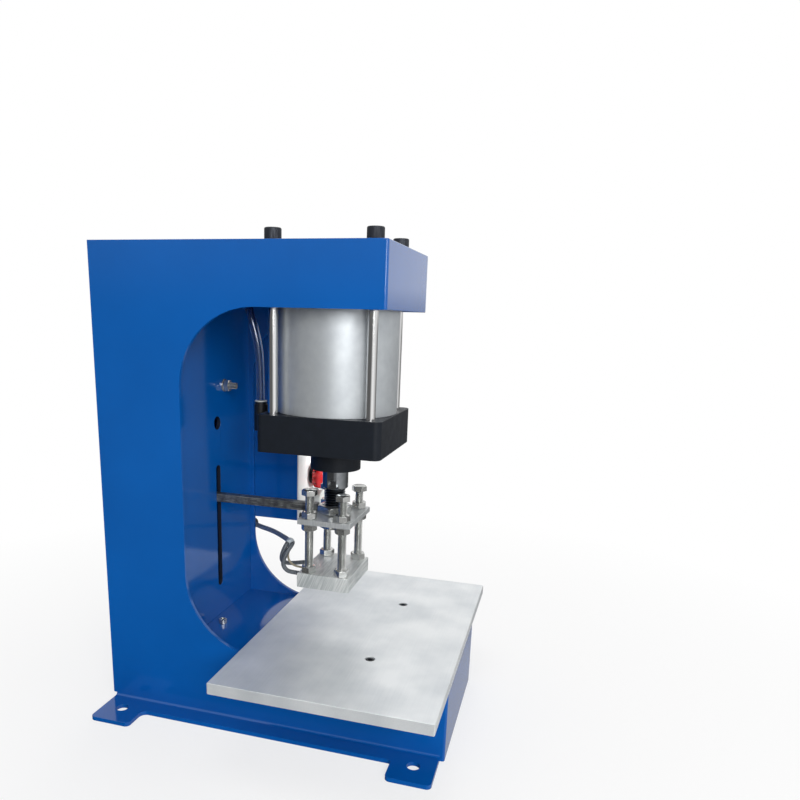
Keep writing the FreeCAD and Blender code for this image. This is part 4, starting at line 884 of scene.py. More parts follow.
def spline_line(name: str, points: Iterable[Point]) -> bpy.types.Object:
    """A smooth line through the run of a lead or hose, as a NURBS curve.

    Args:
        name: the line's name.
        points: the run, in millimetres.

    Returns:
        The curve, in metres.
    """
    data = bpy.data.curves.new(name, "CURVE")
    data.dimensions = "3D"
    data.resolution_u = 16
    spline = data.splines.new("NURBS")
    run = list(points)
    spline.points.add(len(run) - 1)
    for target, point in zip(spline.points, run):
        target.co = (*(value * MM for value in point), 1)
    spline.order_u = 3
    spline.use_endpoint_u = True
    piece = bpy.data.objects.new(name, data)
    bpy.context.scene.collection.objects.link(piece)
    return piece


def tube(name: str, points: Iterable[Point], radius: float, sides: int = 20, wall: float = 0.0,
         swell: Sequence[float] = ()) -> bpy.types.Object:
    """A round tube along a run of points, with a UV map along and around it.

    Args:
        name: the piece's name.
        points: the run, in millimetres.
        radius: of the tube, in metres.
        sides: around the tube.
        wall: thickness of a hollow tube's wall, or nothing for a solid round.
        swell: share of the radius at each point, for a tapered sleeve.

    Returns:
        The mesh.
    """
    piece = spline_line(name, points)
    piece.data.bevel_depth = radius
    piece.data.bevel_resolution = sides // 4
    piece.data.use_fill_caps = not wall
    for point, share in zip(piece.data.splines[0].points, swell):
        point.radius = share
    pick(piece)
    bpy.ops.object.convert(target="MESH")
    piece = named(name)
    piece.data.uv_layers[0].name = "sleeve"
    if wall:
        apply_modifier(piece, "SOLIDIFY", thickness=wall, offset=-1)
    return smooth(piece, 60)


@dataclass(frozen=True)
class Cord:
    """A free hose, cable or lead: the facts first, then its route through the machine.

    The run repeats the points of the model's source, in millimetres.
    """

    name: str
    node: str
    run: tuple[Point, ...]
    diameter: float
    length: float
    finish: Finish
    body: Body | None
    stiffness: str
    bore: float = 0.0

    def path(self) -> list[Point]:
        """The cord's smooth line.

        Returns:
            Points on the line, in metres.
        """
        line = spline_line(self.name + "_line", self.run)
        mesh = bpy.data.meshes.new_from_object(line)
        points = [tuple(vertex.co) for vertex in mesh.vertices]
        bpy.data.meshes.remove(mesh)
        bpy.data.objects.remove(line)
        return points

    def build(self, *pieces: bpy.types.Object) -> bpy.types.Object:
        """Args:
            pieces: the pieces that sit on the cord; not used.

        Returns:
            The cord.
        """
        piece = tube(self.name, self.run, self.diameter / 2, 24, (self.diameter - self.bore) / 2 if self.bore else 0.0)
        dress(piece, self.finish, self.body, self.node)
        path = self.path()
        return piece


# Fasteners

@dataclass
class HexPiece:
    """A hexagon with turned corners, for bolt heads and nuts."""

    flats: float
    height: float

    def build(self, name: str, both_ends: bool) -> bpy.types.Object:
        """The chamfered hexagon, standing on the origin.

        Args:
            name: the piece's name.
            both_ends: whether the lower corners are turned too.

        Returns:
            The hexagon.
        """
        piece = bar(name, self.flats / math.sqrt(3), self.height, 6)
        corner, face = self.flats / math.sqrt(3) * 1.01, self.flats * 0.475
        slope = (corner - face) * HEXAGON_EASE
        low = [(face, 0.0), (corner, slope)] if both_ends else [(corner, 0.0)]
        lathe = turned("turned_corners", [(0.0, 0.0), *low, (corner, self.height - slope),
                                          (face, self.height), (0.0, self.height)])
        return carve(piece, lathe, "INTERSECT")


@dataclass
class HexNut(HexPiece):
    """A plain hexagon nut with a countersunk hole."""

    hole: float = 10 * MM

    def nut(self, name: str) -> bpy.types.Object:
        """The nut, standing on the origin.

        Args:
            name: the nut's name.

        Returns:
            The nut.
        """
        piece = self.build(name, True)
        wide, r, h = self.hole / 2 + 0.6 * MM, self.hole / 2, self.height
        rim, sink = wide + 2 * MM, 0.9 * MM
        drill = turned("drill", [(0, -MM), (rim, -MM), (rim, -0.5 * MM), (wide, 0), (r, sink), (r, h - sink),
                                 (wide, h), (rim, h + 0.5 * MM), (rim, h + MM), (0, h + MM)], 32)
        return soften(carve(piece, drill), 0.15 * MM)


@dataclass
class HexBolt(HexPiece):
    """A hexagon bolt, threaded up to its head."""

    diameter: float = 10 * MM
    pitch: float = 1.5 * MM
    length: float = 100 * MM

    def bolt(self, name: str) -> bpy.types.Object:
        """The bolt with its head's seat at the origin and its shank downwards.

        Args:
            name: the bolt's name.

        Returns:
            The bolt.
        """
        head = soften(self.build(name + "_head", False), 0.2 * MM)
        stud = put(threaded(name + "_stud", self.diameter, self.pitch, self.length), (0, 0, -self.length))
        return fuse(name, [head, stud])


@dataclass
class SocketScrew:
    """A socket-head cap screw with a knurled head; its seat is at the origin."""

    head_diameter: float
    head: float
    shank: float
    length: float
    key: float
    knurls: int = 36
    knurl_root: float = 0.972

    def build(self, name: str) -> bpy.types.Object:
        """The screw, head upwards.

        Args:
            name: the screw's name.

        Returns:
            The screw.
        """
        radius = self.head_diameter / 2
        head = bar(name, radius, self.head, self.knurls * 2)
        mesh = bmesh.new()
        mesh.from_mesh(head.data)
        for vertex in mesh.verts:
            angle = math.atan2(vertex.co.y, vertex.co.x) / FULL_TURN * self.knurls * 2
            if round(angle - 0.5) % 2:
                vertex.co.x *= self.knurl_root
                vertex.co.y *= self.knurl_root
        mesh.to_mesh(head.data)
        mesh.free()
        ease, inner = 0.08 * self.head, radius * 0.9
        lathe = turned("cone", [(0, 0), (inner, 0), (radius, ease), (radius, self.head - 1.6 * ease),
                                (radius * 0.97, self.head - 0.5 * ease), (inner, self.head), (0, self.head)])
        carve(head, lathe, "INTERSECT")
        key = put(bar("key", self.key / math.sqrt(3), self.head, 6), (0, 0, self.head / 2))
        carve(head, key)
        smooth(head, 25)
        shank = put(bar(name + "_shank", self.shank / 2, self.length, 24), (0, 0, -self.length))
        return fuse(name, [head, smooth(shank)])


@dataclass
class ButtonScrew:
    """A small dome-headed screw with a hexagon socket; its seat is at the origin."""

    head_diameter: float = 7.6 * MM
    head: float = 2.2 * MM
    shank: float = 4 * MM
    length: float = 8 * MM
    key: float = 2.5 * MM

    def build(self, name: str) -> bpy.types.Object:
        """The screw, head upwards.

        Args:
            name: the screw's name.

        Returns:
            The screw.
        """
        r, h = self.head_diameter / 2, self.head
        dome = turned(name, [(0, -self.length), (self.shank / 2, -self.length), (self.shank / 2, 0), (r, 0),
                             (r * 0.99, 0.25 * h), (r * 0.9, 0.55 * h), (r * 0.72, 0.82 * h), (r * 0.5, h), (0, h)], 32)
        carve(dome, put(bar("key", self.key / math.sqrt(3), h, 6), (0, 0, 0.35 * h)))
        return smooth(dome, 30)


# Sub-assemblies

@dataclass
class WeldedFrame:
    """The blue steel frame with its cover."""

    edge: float = 0.45 * MM
    plates: tuple[str, ...] = ("left_side_plate", "right_side_plate", "column_web", "deck_plate", "top_plate",
                               "arm_front_plate", "base_front_plate", "rear_cover")
    side: float = 91 * MM
    arm_seam: float = -74 * MM
    base_seam: float = -155 * MM
    top: float = 535 * MM
    deck: float = 86.5 * MM
    arm_foot: float = 0.46
    near: float = 0.3 * MM
    opening_side: float = 0.06
    opening_span: tuple[float, float] = (0.12, 0.46)
    bolt: Point = (0.019, 0.1595, 0.378)
    nut: Point = (0.019, 0.1431, 0.378)

    def welded(self, spot: Vector) -> bool:
        """Whether a spot lies on a seam that is ground flush before painting.

        Args:
            spot: the middle of an edge.

        Returns:
            True on a seam.
        """
        near = self.near
        on_arm = abs(spot.y - self.arm_seam) < near and spot.z > self.arm_foot
        on_base = abs(spot.y - self.base_seam) < near and spot.z < self.deck + near
        level = abs(spot.z - self.top) < near or abs(spot.z - self.deck) < near
        return on_arm or on_base or (level and abs(abs(spot.x) - self.side) < near)

    def build(self) -> None:
        """Build and dress the plates and the bolt on the web."""
        for plate in self.plates:
            piece = dress(eased_copy(plate, self.edge, flush=self.welded), BLUE_POWDER, Body.FRAME)
            if plate == "column_web":
                self.shade_openings(piece)
        self.web_bolt()
        refinish(BLUE_POWDER, "valve_bracket")

    def shade_openings(self, web: bpy.types.Object) -> None:
        """The walls of the web's slot and hole, given a nearly black finish as painted shade.

        Args:
            web: the web.
        """
        # Painted shade: the opening walls take the nearly black finish.
        web.data.materials.append(PAINTED_SHADE_IN_OPENINGS.material())
        low, high = self.opening_span
        choose_faces(web, lambda middle, normal: abs(normal.y) < 0.5 and abs(middle.x) < self.opening_side
                     and low < middle.z < high)
        web.active_material_index = 1
        bpy.ops.object.material_slot_assign()
        bpy.ops.object.mode_set(mode="OBJECT")

    def web_bolt(self) -> None:
        """The bolt that holds the valve's bracket, with its nut in front of the web."""
        bolt = HexBolt(flats=13 * MM, height=5.3 * MM, diameter=8 * MM, pitch=1.25 * MM, length=25 * MM)
        dress(put(bolt.bolt("web_bolt_threaded"), self.bolt, Axis.BACK), ZINC_STEEL, Body.FRAME, "web_bolt")
        nut = HexNut(flats=13 * MM, height=6.8 * MM, hole=7.2 * MM)
        dress(put(nut.nut("web_bolt_hex_nut"), self.nut, Axis.BACK), ZINC_STEEL, Body.FRAME, "web_bolt_nut")
        dress(eased_copy("web_bolt_washer", 0.25 * MM), ZINC_STEEL, Body.FRAME)


@dataclass
class WorkTable:
    """The aluminium table and the deck's socket screws."""

    screws: tuple[Point, ...] = ((-0.081, -0.070, 0.092), (0.081, -0.070, 0.092), (-0.0265, 0.136, 0.0865))

    def build(self) -> None:
        """Build and dress the table and its screws."""
        dress(eased_copy("table_plate", 0.5 * MM), TABLE_ALUMINIUM, Body.FRAME)
        master = SocketScrew(head_diameter=10 * MM, head=6 * MM, shank=6 * MM, length=16 * MM, key=5 * MM,
                             knurls=30).build("m6_screw")
        second, third = (put(twin(master, "m6_copy"), place) for place in self.screws[1:])
        put(master, self.screws[0])
        dress(fuse("table_socket_screws", [master, second]), BLACK_OXIDE, Body.FRAME, "socket_screws")
        third.name = "deck_socket_screw"
        dress(third, ZINC_STEEL, Body.FRAME)


@dataclass
class AirCylinder:
    """The square tie-rod cylinder under the arm."""

    tie: float = 55 * MM
    top: float = 538 * MM

    def build(self) -> None:
        """Build and dress the caps, barrel, rods and screws."""
        for cap in ("upper_end_cap", "lower_end_cap"):
            dress(eased_copy(cap, 0.6 * MM), BLACK_ANODISED, Body.FRAME)
        dress(eased_copy("cylinder_barrel", 0.4 * MM), ANODISED_ALUMINIUM, Body.FRAME)
        dress(eased_copy("tie_rods", 0.0), CHROME, Body.FRAME)
        dress(eased_copy("cap_screw_washers", 0.3 * MM), BLACK_OXIDE, Body.FRAME)
        master = SocketScrew(head_diameter=18 * MM, head=12 * MM, shank=12 * MM, length=30 * MM, key=10 * MM,
                             knurls=40).build("m12_screw")
        corners = [(x, y, self.top) for x in (-self.tie, self.tie) for y in (-self.tie, self.tie)]
        copies = [put(twin(master, "m12_copy"), place) for place in corners[1:]]
        put(master, corners[0])
        dress(fuse("arm_socket_screws", [master, *copies]), BLACK_OXIDE, Body.FRAME, "cap_screws")
        refinish(ZINC_STEEL, "tie_rod_nuts", "piston_nut")
        refinish(RUBBER, "rod_seal", "barrel_seals", "piston_seals")
        refinish(ANODISED_ALUMINIUM, "piston")
        refinish(BRONZE, "rod_bush")


@dataclass
class Ram:
    """The piston rod with its thread, its nuts and the guide bar."""

    shoulder: float = 268 * MM
    radius: float = 15 * MM
    thread: float = 24 * MM
    thread_length: float = 49 * MM
    flat: float = 14 * MM
    flat_length: float = 11 * MM
    core: float = 11 * MM
    neck: float = 11 * MM
    neck_level: float = 439 * MM
    top: float = 489 * MM
    ease: float = 1.5 * MM
    nut_levels: tuple[float, float] = (0.237, 0.2205)

    def build(self) -> None:
        """Build and dress the rod, its nuts and the bar."""
        foot, ease = self.shoulder, self.ease
        rod = turned("piston_rod_turned", [
            (0, foot - MM), (self.core, foot - MM), (self.core, foot), (self.radius - ease, foot),
            (self.radius, foot + ease), (self.radius, self.neck_level), (self.neck, self.neck_level),
            (self.neck, self.top - ease), (self.neck - ease, self.top), (0, self.top)])
        low, high = foot - 2 * MM, foot + self.flat_length
        for side in (-1, 1):
            near, far = sorted((side * self.flat, side * 20 * MM))
            carve(rod, block("jaw", (near, -0.02, low), (far, 0.02, high)))
        soften(rod, 0.3 * MM)
        stud = threaded("rod_thread", self.thread, 3 * MM, self.thread_length, 40)
        put(stud, (0, 0, foot - self.thread_length))
        dress(rod, GROUND_STEEL, Body.RAM, "piston_rod")
        dress(stud, THREAD_STEEL, Body.RAM)
        above, below = self.nut_levels
        nut = HexNut(flats=36 * MM, height=10.5 * MM, hole=22.6 * MM).nut("rod_nut_above")
        under = put(twin(nut, "rod_nut_under"), (0, 0, below))
        dress(fuse("rod_hex_nuts", [put(nut, (0, 0, above)), under]), ZINC_STEEL, Body.RAM, "rod_nuts")
        dress(eased_copy("guide_bar", 0.8 * MM), MILL_SCALE, Body.RAM)


@dataclass
class HeatedHead:
    """The head plate, its four long bolts and the heating block."""

    spots: tuple[Point, ...] = ((-0.033, 0.020, 0.2646), (-0.033, -0.020, 0.2616), (0.033, -0.020, 0.2586),
                                (0.033, 0.020, 0.2576))
    bolt_turn: float = 0.3
    nut_levels: tuple[float, ...] = (0.237, 0.223, 0.172)
    nut_turns: tuple[float, ...] = (0.1, 0.7, 0.35, 0.9, 0.55, 0.0, 0.25, 0.8, 0.45, 0.15, 0.6, 0.95)

    def build(self) -> None:
        """Build and dress the head."""
        dress(eased_copy("head_plate", 0.4 * MM), CUT_STEEL, Body.RAM)
        dress(eased_copy("heating_block", 0.3 * MM), SAWN_ALUMINIUM, Body.RAM)
        master = HexBolt(flats=16 * MM, height=6.4 * MM, diameter=10 * MM, pitch=1.5 * MM,
                         length=100 * MM).bolt("m10_bolt")
        bolts = [put(twin(master, "m10_copy"), spot, spin=self.bolt_turn * index)
                 for index, spot in enumerate(self.spots)]
        bpy.data.objects.remove(master)
        dress(fuse("head_hex_bolts", bolts), ZINC_STEEL, Body.RAM, "head_bolts")
        nut = HexNut(flats=16 * MM, height=8 * MM, hole=9 * MM).nut("m10_nut")
        places = [(x, y, level) for x, y, _ in self.spots for level in self.nut_levels]
        nuts = [put(twin(nut, "m10_nut_copy"), place, spin=turn) for place, turn in zip(places, self.nut_turns)]
        bpy.data.objects.remove(nut)
        dress(fuse("head_hex_nuts", nuts), ZINC_STEEL, Body.RAM, "head_nuts")


@dataclass
class HeaterWiring:
    """Cartridges, their leads, the probe and the braided cable to the box; runs are in millimetres."""

    rear: float = 31.5
    level: float = 163.5
    gland: Point = (121.6, 172.5, 178)
    gland_turn: float = math.radians(38)
    cable_end: Point = (-8.0, 53.2, 197.0)
    cable_fixed: Point = (0.108, 0.155, 0.178)

    def cable(self) -> Cord:
        """The braided cable from its gland to the head.

        Returns:
            The cable's facts.
        """
        ahead = Vector((-math.sin(self.gland_turn), -math.cos(self.gland_turn), 0))
        gland = Vector(self.gland)
        run = (tuple(gland + ahead * 14), tuple(gland + ahead * 38), (76, self.rear + 80.2, self.level + 17.5),
               (46, self.rear + 52, self.level + 20.5), (20, self.rear + 34.5, self.level + 25.5), self.cable_end)
        return Cord("heater_cable_braid", "heater_cable", run, 6.5 * MM, 166 * MM, CABLE_BRAID, None, "medium")

    def leads(self) -> tuple[Cord, Cord]:
        """The two heater leads from the cable's end to the cartridges.

        Returns:
            The left lead's and the right lead's facts.
        """
        x, y, z = self.cable_end
        rear, level = self.rear, self.level
        left = ((x + 0.95, y - 2.62, z + 0.02), (-12.6, rear + 16.6, level + 34.8), (-18.6, rear + 16, level + 33),
                (-23, rear + 19, level + 27.5), (-24, rear + 23, level + 18.5), (-24, rear + 25, level + 9.5),
                (-22.5, rear + 20.5, level + 2), (-20, rear + 12, level), (-20, rear + 3, level))
        right = ((x - 1.3, y + 2.62, z + 0.02), (-15.4, rear + 22.2, level + 35), (-19.6, rear + 23.2, level + 31.8),
                 (-19.9, rear + 25.9, level + 26), (-19, rear + 28.5, level + 18.5), (-12, rear + 31, level + 9.5),
                 (0, rear + 28.5, level + 3), (13, rear + 21.5, level), (20, rear + 12.5, level),
                 (20, rear + 3, level))
        return (Cord("left_heater_lead", "heater_leads", left, 5.2 * MM, 65 * MM, LEAD_BRAID, Body.RAM, "limp"),
                Cord("right_heater_lead", "heater_leads", right, 5.2 * MM, 86 * MM, LEAD_BRAID, Body.RAM, "limp"))

    def probe_lead(self) -> Cord:
        """The thin lead of the probe.

        Returns:
            The lead's facts.
        """
        rear, level = self.rear, self.level
        run = ((-9, rear + 21.4, level + 30.6), (-11.8, rear + 20, level + 31), (-14.2, rear + 19.8, level + 28.6),
               (-14.6, rear + 20.8, level + 24.8), (-12.5, rear + 23, level + 18.5), (-6.5, rear + 24.5, level + 10),
               (-1.5, rear + 21.5, level + 2.5), (0, rear + 14, level), (0, rear + 6, level))
        return Cord("probe_lead_sleeve", "thermocouple", run, 2.6 * MM, 52 * MM, PALE_BRAID, Body.RAM, "limp")

    def build(self) -> None:
        """Build and dress the wiring."""
        x, y, z = self.cable_end
        boot = tube("cable_end_boot", ((x + 9.5, y + 4.5, z - 2.4), (x + 5, y + 2.4, z - 1.2), (x, y + 0.2, z + 0.2),
                                       (x - 4.4, y - 1.4, z + 0.9), (x - 7.4, y - 2.2, z + 0.4)),
                    5.4 * MM, 24, swell=(0.66, 0.78, 1.0, 1.0, 0.84))
        dress(boot, SHRINK, Body.RAM)
        cable = self.cable().build(boot)
        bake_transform(cable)
        for lead in (*self.leads(), self.probe_lead()):
            lead.build()
        hexagon = put(HexPiece(8 * MM, 6 * MM).build("probe_hexagon", True), (0, self.rear * MM, self.level * MM),
                      Axis.BACK)
        tip = put(turned("probe_tip", [(0, -25 * MM), (1.4 * MM, -25 * MM), (2 * MM, -24.4 * MM), (2 * MM, MM),
                                       (0, MM)], 24), (0, self.rear * MM, self.level * MM), Axis.BACK)
        dress(fuse("probe_body", [soften(hexagon, 0.15 * MM), smooth(tip)]), NICKEL, Body.RAM, "thermocouple")
        dress(eased_copy("cartridge_heaters", 0.3 * MM), ZINC_STEEL, Body.RAM)


@dataclass
class AirLine:
    """Elbows, hoses, the valve and the inlet; runs are in millimetres."""

    hose: float = 10 * MM
    bore: float = 6.5 * MM
    lower: tuple[Point, ...] = ((0, 94, 349.5), (0, 94, 389.5), (-0.5, 95.5, 423.5), (-2, 102.8, 456.2),
                                (-3.5, 111, 478.8), (-6, 131.7, 490.7), (-9, 155.1, 486.5), (-12, 170.5, 468.3),
                                (-12, 170.5, 436))
    upper: tuple[Point, ...] = ((12, 94, 506.5), (40, 94, 506.5), (56.4, 105.5, 507), (63.2, 124.3, 507.5),
                                (58, 143.6, 506.5), (42.7, 156.5, 504.5), (22, 167.5, 493), (12, 170.5, 474),
                                (12, 170.5, 436))
    inlet: tuple[Point, ...] = ((0, 170.5, 383), (0, 170.5, 352), (0, 176, 326), (0, 196, 306), (0, 222, 300),
                                (0, 244, 300))
    coil_cable: tuple[Point, ...] = ((74, 170.5, 409.5), (86, 170.5, 409.5), (98, 170.5, 409.5), (110, 170.5, 409.5))
    rings: tuple[tuple[Point, Axis], ...] = (((0, 0.094, 0.3635), Axis.UP), ((0.026, 0.094, 0.5065), Axis.RIGHT))

    def build(self) -> None:
        """Build and dress the air line."""
        for name, node, run, length in (("lower_hose", "lower_air_hose", self.lower, 232),
                                        ("upper_hose", "upper_air_hose", self.upper, 190),
                                        ("inlet_hose", "air_inlet_hose", self.inlet, 133)):
            Cord(name, node, run, self.hose, length * MM, HOSE, Body.FRAME, "stiff", self.bore).build()
        Cord("valve_coil_cable", "coil_cable", self.coil_cable, 5 * MM, 36 * MM, RUBBER, Body.FRAME, "medium").build()
        for node in ("cylinder_elbows", "valve_fittings"):
            dress(eased_copy(node, 0.25 * MM), BLACK_PLASTIC, Body.FRAME)
        rings = [put(self.release_ring(), place, way) for place, way in self.rings]
        dress(fuse("release_rings", rings), GREY_PLASTIC, Body.FRAME)
        dress(eased_copy("solenoid_valve", 0.6 * MM), ANODISED_ALUMINIUM, Body.FRAME)
        dress(eased_copy("valve_coil", 1.2 * MM, 3), BLACK_PLASTIC, Body.FRAME)
        dress(eased_copy("air_inlet_fitting", 0.25 * MM), NICKEL, Body.FRAME)

    def release_ring(self) -> bpy.types.Object:
        """The ring that frees a hose from its push-in fitting.

        Returns:
            The ring, standing on the origin.
        """
        bore, rim = self.hose / 2 + 0.15 * MM, 7.2 * MM
        ring = turned("release_ring", [(bore, 0), (rim, 0), (rim, 0.9 * MM), (rim - 0.6 * MM, 1.5 * MM),
                                       (bore + 0.6 * MM, 1.5 * MM), (bore, MM), (bore, 0)], 40)
        return smooth(ring, 50)


@dataclass
class ControlBox:
    """The control box, its panel, instruments and controls."""

    middle: float = 147 * MM
    face: float = 83 * MM
    stop: float = 246 * MM
    switch: float = 300 * MM
    timer: float = 355 * MM
    controller: float = 423 * MM
    window: float = 18.9 * MM
    window_faces: tuple[float, float] = (78.5 * MM, 79.2 * MM)
    lit_faces: tuple[float, float] = (78.4 * MM, 78.5 * MM)
    key_faces: tuple[float, float] = (77.2 * MM, 78.4 * MM)
    rocker_front: float = 70 * MM
    box_sides: tuple[float, float] = (0.096, 0.198)
    box_levels: tuple[float, float] = (0.192, 0.477)
    cover_side: float = 0.076
    cover_back: float = 0.2515
    cover_levels: tuple[float, ...] = (0.032, 0.2715, 0.511)
    case_side: float = 0.0975
    case_depths: tuple[float, float] = (0.1645, 0.23)
    screw_inset: float = 6.5 * MM
    case_inset: float = 26 * MM

    def build(self) -> None:
        """Build and dress the box and all that is on it."""
        dress(eased_copy("control_box_case", 0.4 * MM), BLUE_POWDER, Body.FRAME)
        dress(eased_copy("control_panel", 0.4 * MM), WHITE_POWDER, Body.FRAME)
        dress(eased_copy("cable_glands", 0.3 * MM), BLACK_PLASTIC, Body.FRAME)
        self.instruments()
        self.emergency_stop()
        self.start_button()
        self.power_switch()
        self.cover_screws()

    def instruments(self) -> None:
        """The temperature controller and the dwell timer, with lit figures and keys."""
        for node in ("temperature_controller", "dwell_timer"):
            dress(eased_copy(node, 0.5 * MM), BLACK_PLASTIC, Body.FRAME)
        front, back = self.window_faces
        glass = [block("window", (self.middle - self.window, front, level + 1.1 * MM),
                       (self.middle + self.window, back, level + 18.9 * MM))
                 for level in (self.controller, self.timer)]
        dress(soften(fuse("instrument_windows", glass), 0.12 * MM), DARK_WINDOW, Body.FRAME)
        hot = self.figures("actual_heat", "142", self.controller + 14.6 * MM, 6.4 * MM)
        dress(fuse("red_figures", [hot, self.figures("dwell", "030", self.timer + 12.6 * MM, 8 * MM)]),
              RED_DIGITS, Body.FRAME)
        dress(self.figures("set_heat", "150", self.controller + 5.6 * MM, 5 * MM), GREEN_DIGITS, Body.FRAME)
        front, back = self.key_faces
        keys = []
        for level in (self.controller, self.timer):
            for step in range(4):
                x, z = self.middle + (step - 1.5) * 9.4 * MM, level - 11 * MM
                key = block("key", (x - 3.4 * MM, front, z - 2.6 * MM), (x + 3.4 * MM, back, z + 2.6 * MM))
                keys.append(soften(key, 0.5 * MM, 3))
        dress(fuse("instrument_keys", keys), GREY_PLASTIC, Body.FRAME)

    def figures(self, name: str, text: str, level: float, height: float) -> bpy.types.Object:
        """A row of seven-segment figures just in front of its window.

        Args:
            name: the piece's name.
            text: the digits.
            level: height of the row's middle.
            height: of a digit.

        Returns:
            All lit segments as one piece.
        """
        lit = {"0": "abcdef", "1": "bc", "2": "abdeg", "3": "abcdg", "4": "bcfg", "5": "acdfg"}
        wide, half, thick = height * 0.5, height / 2, height * 0.12
        front, back = self.lit_faces
        bars = {"a": (0, half, True), "g": (0, 0, True), "d": (0, -half, True),
                "b": (wide / 2, half / 2, False), "c": (wide / 2, -half / 2, False),
                "f": (-wide / 2, half / 2, False), "e": (-wide / 2, -half / 2, False)}
        pieces = []
        for index, digit in enumerate(text):
            middle = self.middle + (index - (len(text) - 1) / 2) * wide * 1.7
            for segment in lit[digit]:
                x, z, flat = bars[segment]
                reach = ((wide if flat else half) - thick * 1.3) / 2
                along, across = (reach, thick / 2) if flat else (thick / 2, reach)
                pieces.append(block(name, (middle + x - along, front, level + z - across),
                                    (middle + x + along, back, level + z + across)))
        return fuse(name, pieces)

    def emergency_stop(self) -> None:
        """The red mushroom head on its collar."""
        dress(eased_copy("emergency_stop_collar", 0.5 * MM), BLACK_PLASTIC, Body.FRAME)
        dress(eased_copy("emergency_stop_stem", 0.2 * MM), BLACK_PLASTIC, Body.STOP_STEM)
        rim, height = 18 * MM, 15 * MM
        dome = [(rim * math.sin(turn), 6 * MM + (height - 6 * MM) * math.cos(turn))
                for turn in (math.radians(angle) for angle in range(90, 22, -9))]
        head = turned("emergency_stop_mushroom", [
            (5.3 * MM, 0), (rim - 1.4 * MM, 0), (rim - 0.6 * MM, 0.6 * MM), *dome,
            (6.6 * MM, height - 0.7 * MM), (6.0 * MM, height - MM), (0, height - MM)])
        for turn in range(12):
            angle = turn / 12 * FULL_TURN
            groove = put(bar("groove", 1.1 * MM, 5 * MM, 16),
                         ((rim + 0.5 * MM) * math.cos(angle), (rim + 0.5 * MM) * math.sin(angle), 0.8 * MM))
            carve(head, groove)
        soften(head, 0.25 * MM)
        dress(put(head, (self.middle, 76.5 * MM, self.stop), Axis.FRONT), RED_PLASTIC, Body.STOP_HEAD,
              "emergency_stop_button")

    def start_button(self) -> None:
        """The pale push button in its black bezel."""
        dress(eased_copy("start_button_collar", 0.6 * MM, 3), BLACK_PLASTIC, Body.FRAME)
        dress(eased_copy("start_button", 0.8 * MM, 3), GREY_PLASTIC, Body.START)

    def power_switch(self) -> None:
        """The rocker with its two printed marks."""
        dress(eased_copy("power_switch_frame", 0.4 * MM), BLACK_PLASTIC, Body.FRAME)
        rocker = eased_copy("power_switch_rocker", 0.4 * MM)
        spots = [(self.middle, self.rocker_front, self.switch + rise) for rise in (-6 * MM, 6 * MM)]
        clear_selection()
        bpy.ops.mesh.primitive_circle_add(vertices=32, radius=2.2 * MM, fill_type="NOTHING", location=spots[0],
                                          rotation=(math.pi / 2, 0, 0))
        off = settle(named("off_mark"))
        pick(off)
        bpy.ops.object.mode_set(mode="EDIT")
        bpy.ops.mesh.select_all(action="SELECT")
        bpy.ops.mesh.extrude_edges_move()
        bpy.ops.transform.resize(value=(0.72, 1, 0.72), center_override=spots[0])
        bpy.ops.object.mode_set(mode="OBJECT")
        clear_selection()
        bpy.ops.mesh.primitive_grid_add(x_subdivisions=2, y_subdivisions=8, size=1, location=spots[1],
                                        rotation=(math.pi / 2, 0, 0))
        on = named("on_mark")
        on.scale = (0.6 * MM, 4.4 * MM, 1)
        marks = fuse("switch_marks", [settle(on), off])
        apply_modifier(marks, "SHRINKWRAP", target=rocker, wrap_method="PROJECT", use_project_y=True,
                       use_positive_direction=True, use_negative_direction=False, offset=0.06 * MM)
        dress(rocker, BLACK_PLASTIC, Body.ROCKER)
        dress(marks, WHITE_INK, Body.ROCKER)

    def cover_screws(self) -> None:
        """The fourteen button screws of the cover, the panel and the box."""
        master = ButtonScrew().build("m4_screw")
        places = [((side * self.cover_side, self.cover_back, level), Axis.BACK)
                  for side in (-1, 1) for level in self.cover_levels]
        (left, right), (bottom, roof) = self.box_sides, self.box_levels
        edge, tall = self.screw_inset, self.case_inset
        places += [((x, self.face, z), Axis.FRONT) for x in (left + edge, right - edge)
                   for z in (bottom + edge, roof - edge)]
        places += [((self.case_side, y, z), Axis.RIGHT) for y in self.case_depths for z in (bottom + tall, roof - tall)]
        copies = [put(twin(master, "m4_copy"), place, way) for place, way in places]
        bpy.data.objects.remove(master)
        dress(fuse("button_screws", copies), BLACK_OXIDE, Body.FRAME, "cover_screws")


@dataclass(frozen=True)
class Softbox:
    """A lamp: where it hangs, what it points at, its size and its power; a grid can narrow its beam."""

    spot: Point
    target: Point
    size: float
    power: float
    height: float = 0.0
    beam: float = math.pi
    mirrored: bool = True

    def hang(self, scene: bpy.types.Scene, name: str) -> None:
        """Put the lamp in the scene.

        Args:
            scene: the scene.
            name: the lamp's name.
        """
        data = bpy.data.lights.new(name, "AREA")
        data.energy = self.power
        data.size = self.size
        if self.height:
            data.shape = "RECTANGLE"
            data.size_y = self.height
        data.spread = self.beam
        lamp = bpy.data.objects.new(name, data)
        lamp.location = self.spot
        lamp.rotation_euler = (Vector(self.target) - Vector(self.spot)).to_track_quat("-Z", "Y").to_euler()
        lamp.visible_camera = False
        lamp.visible_glossy = self.mirrored
        scene.collection.objects.link(lamp)


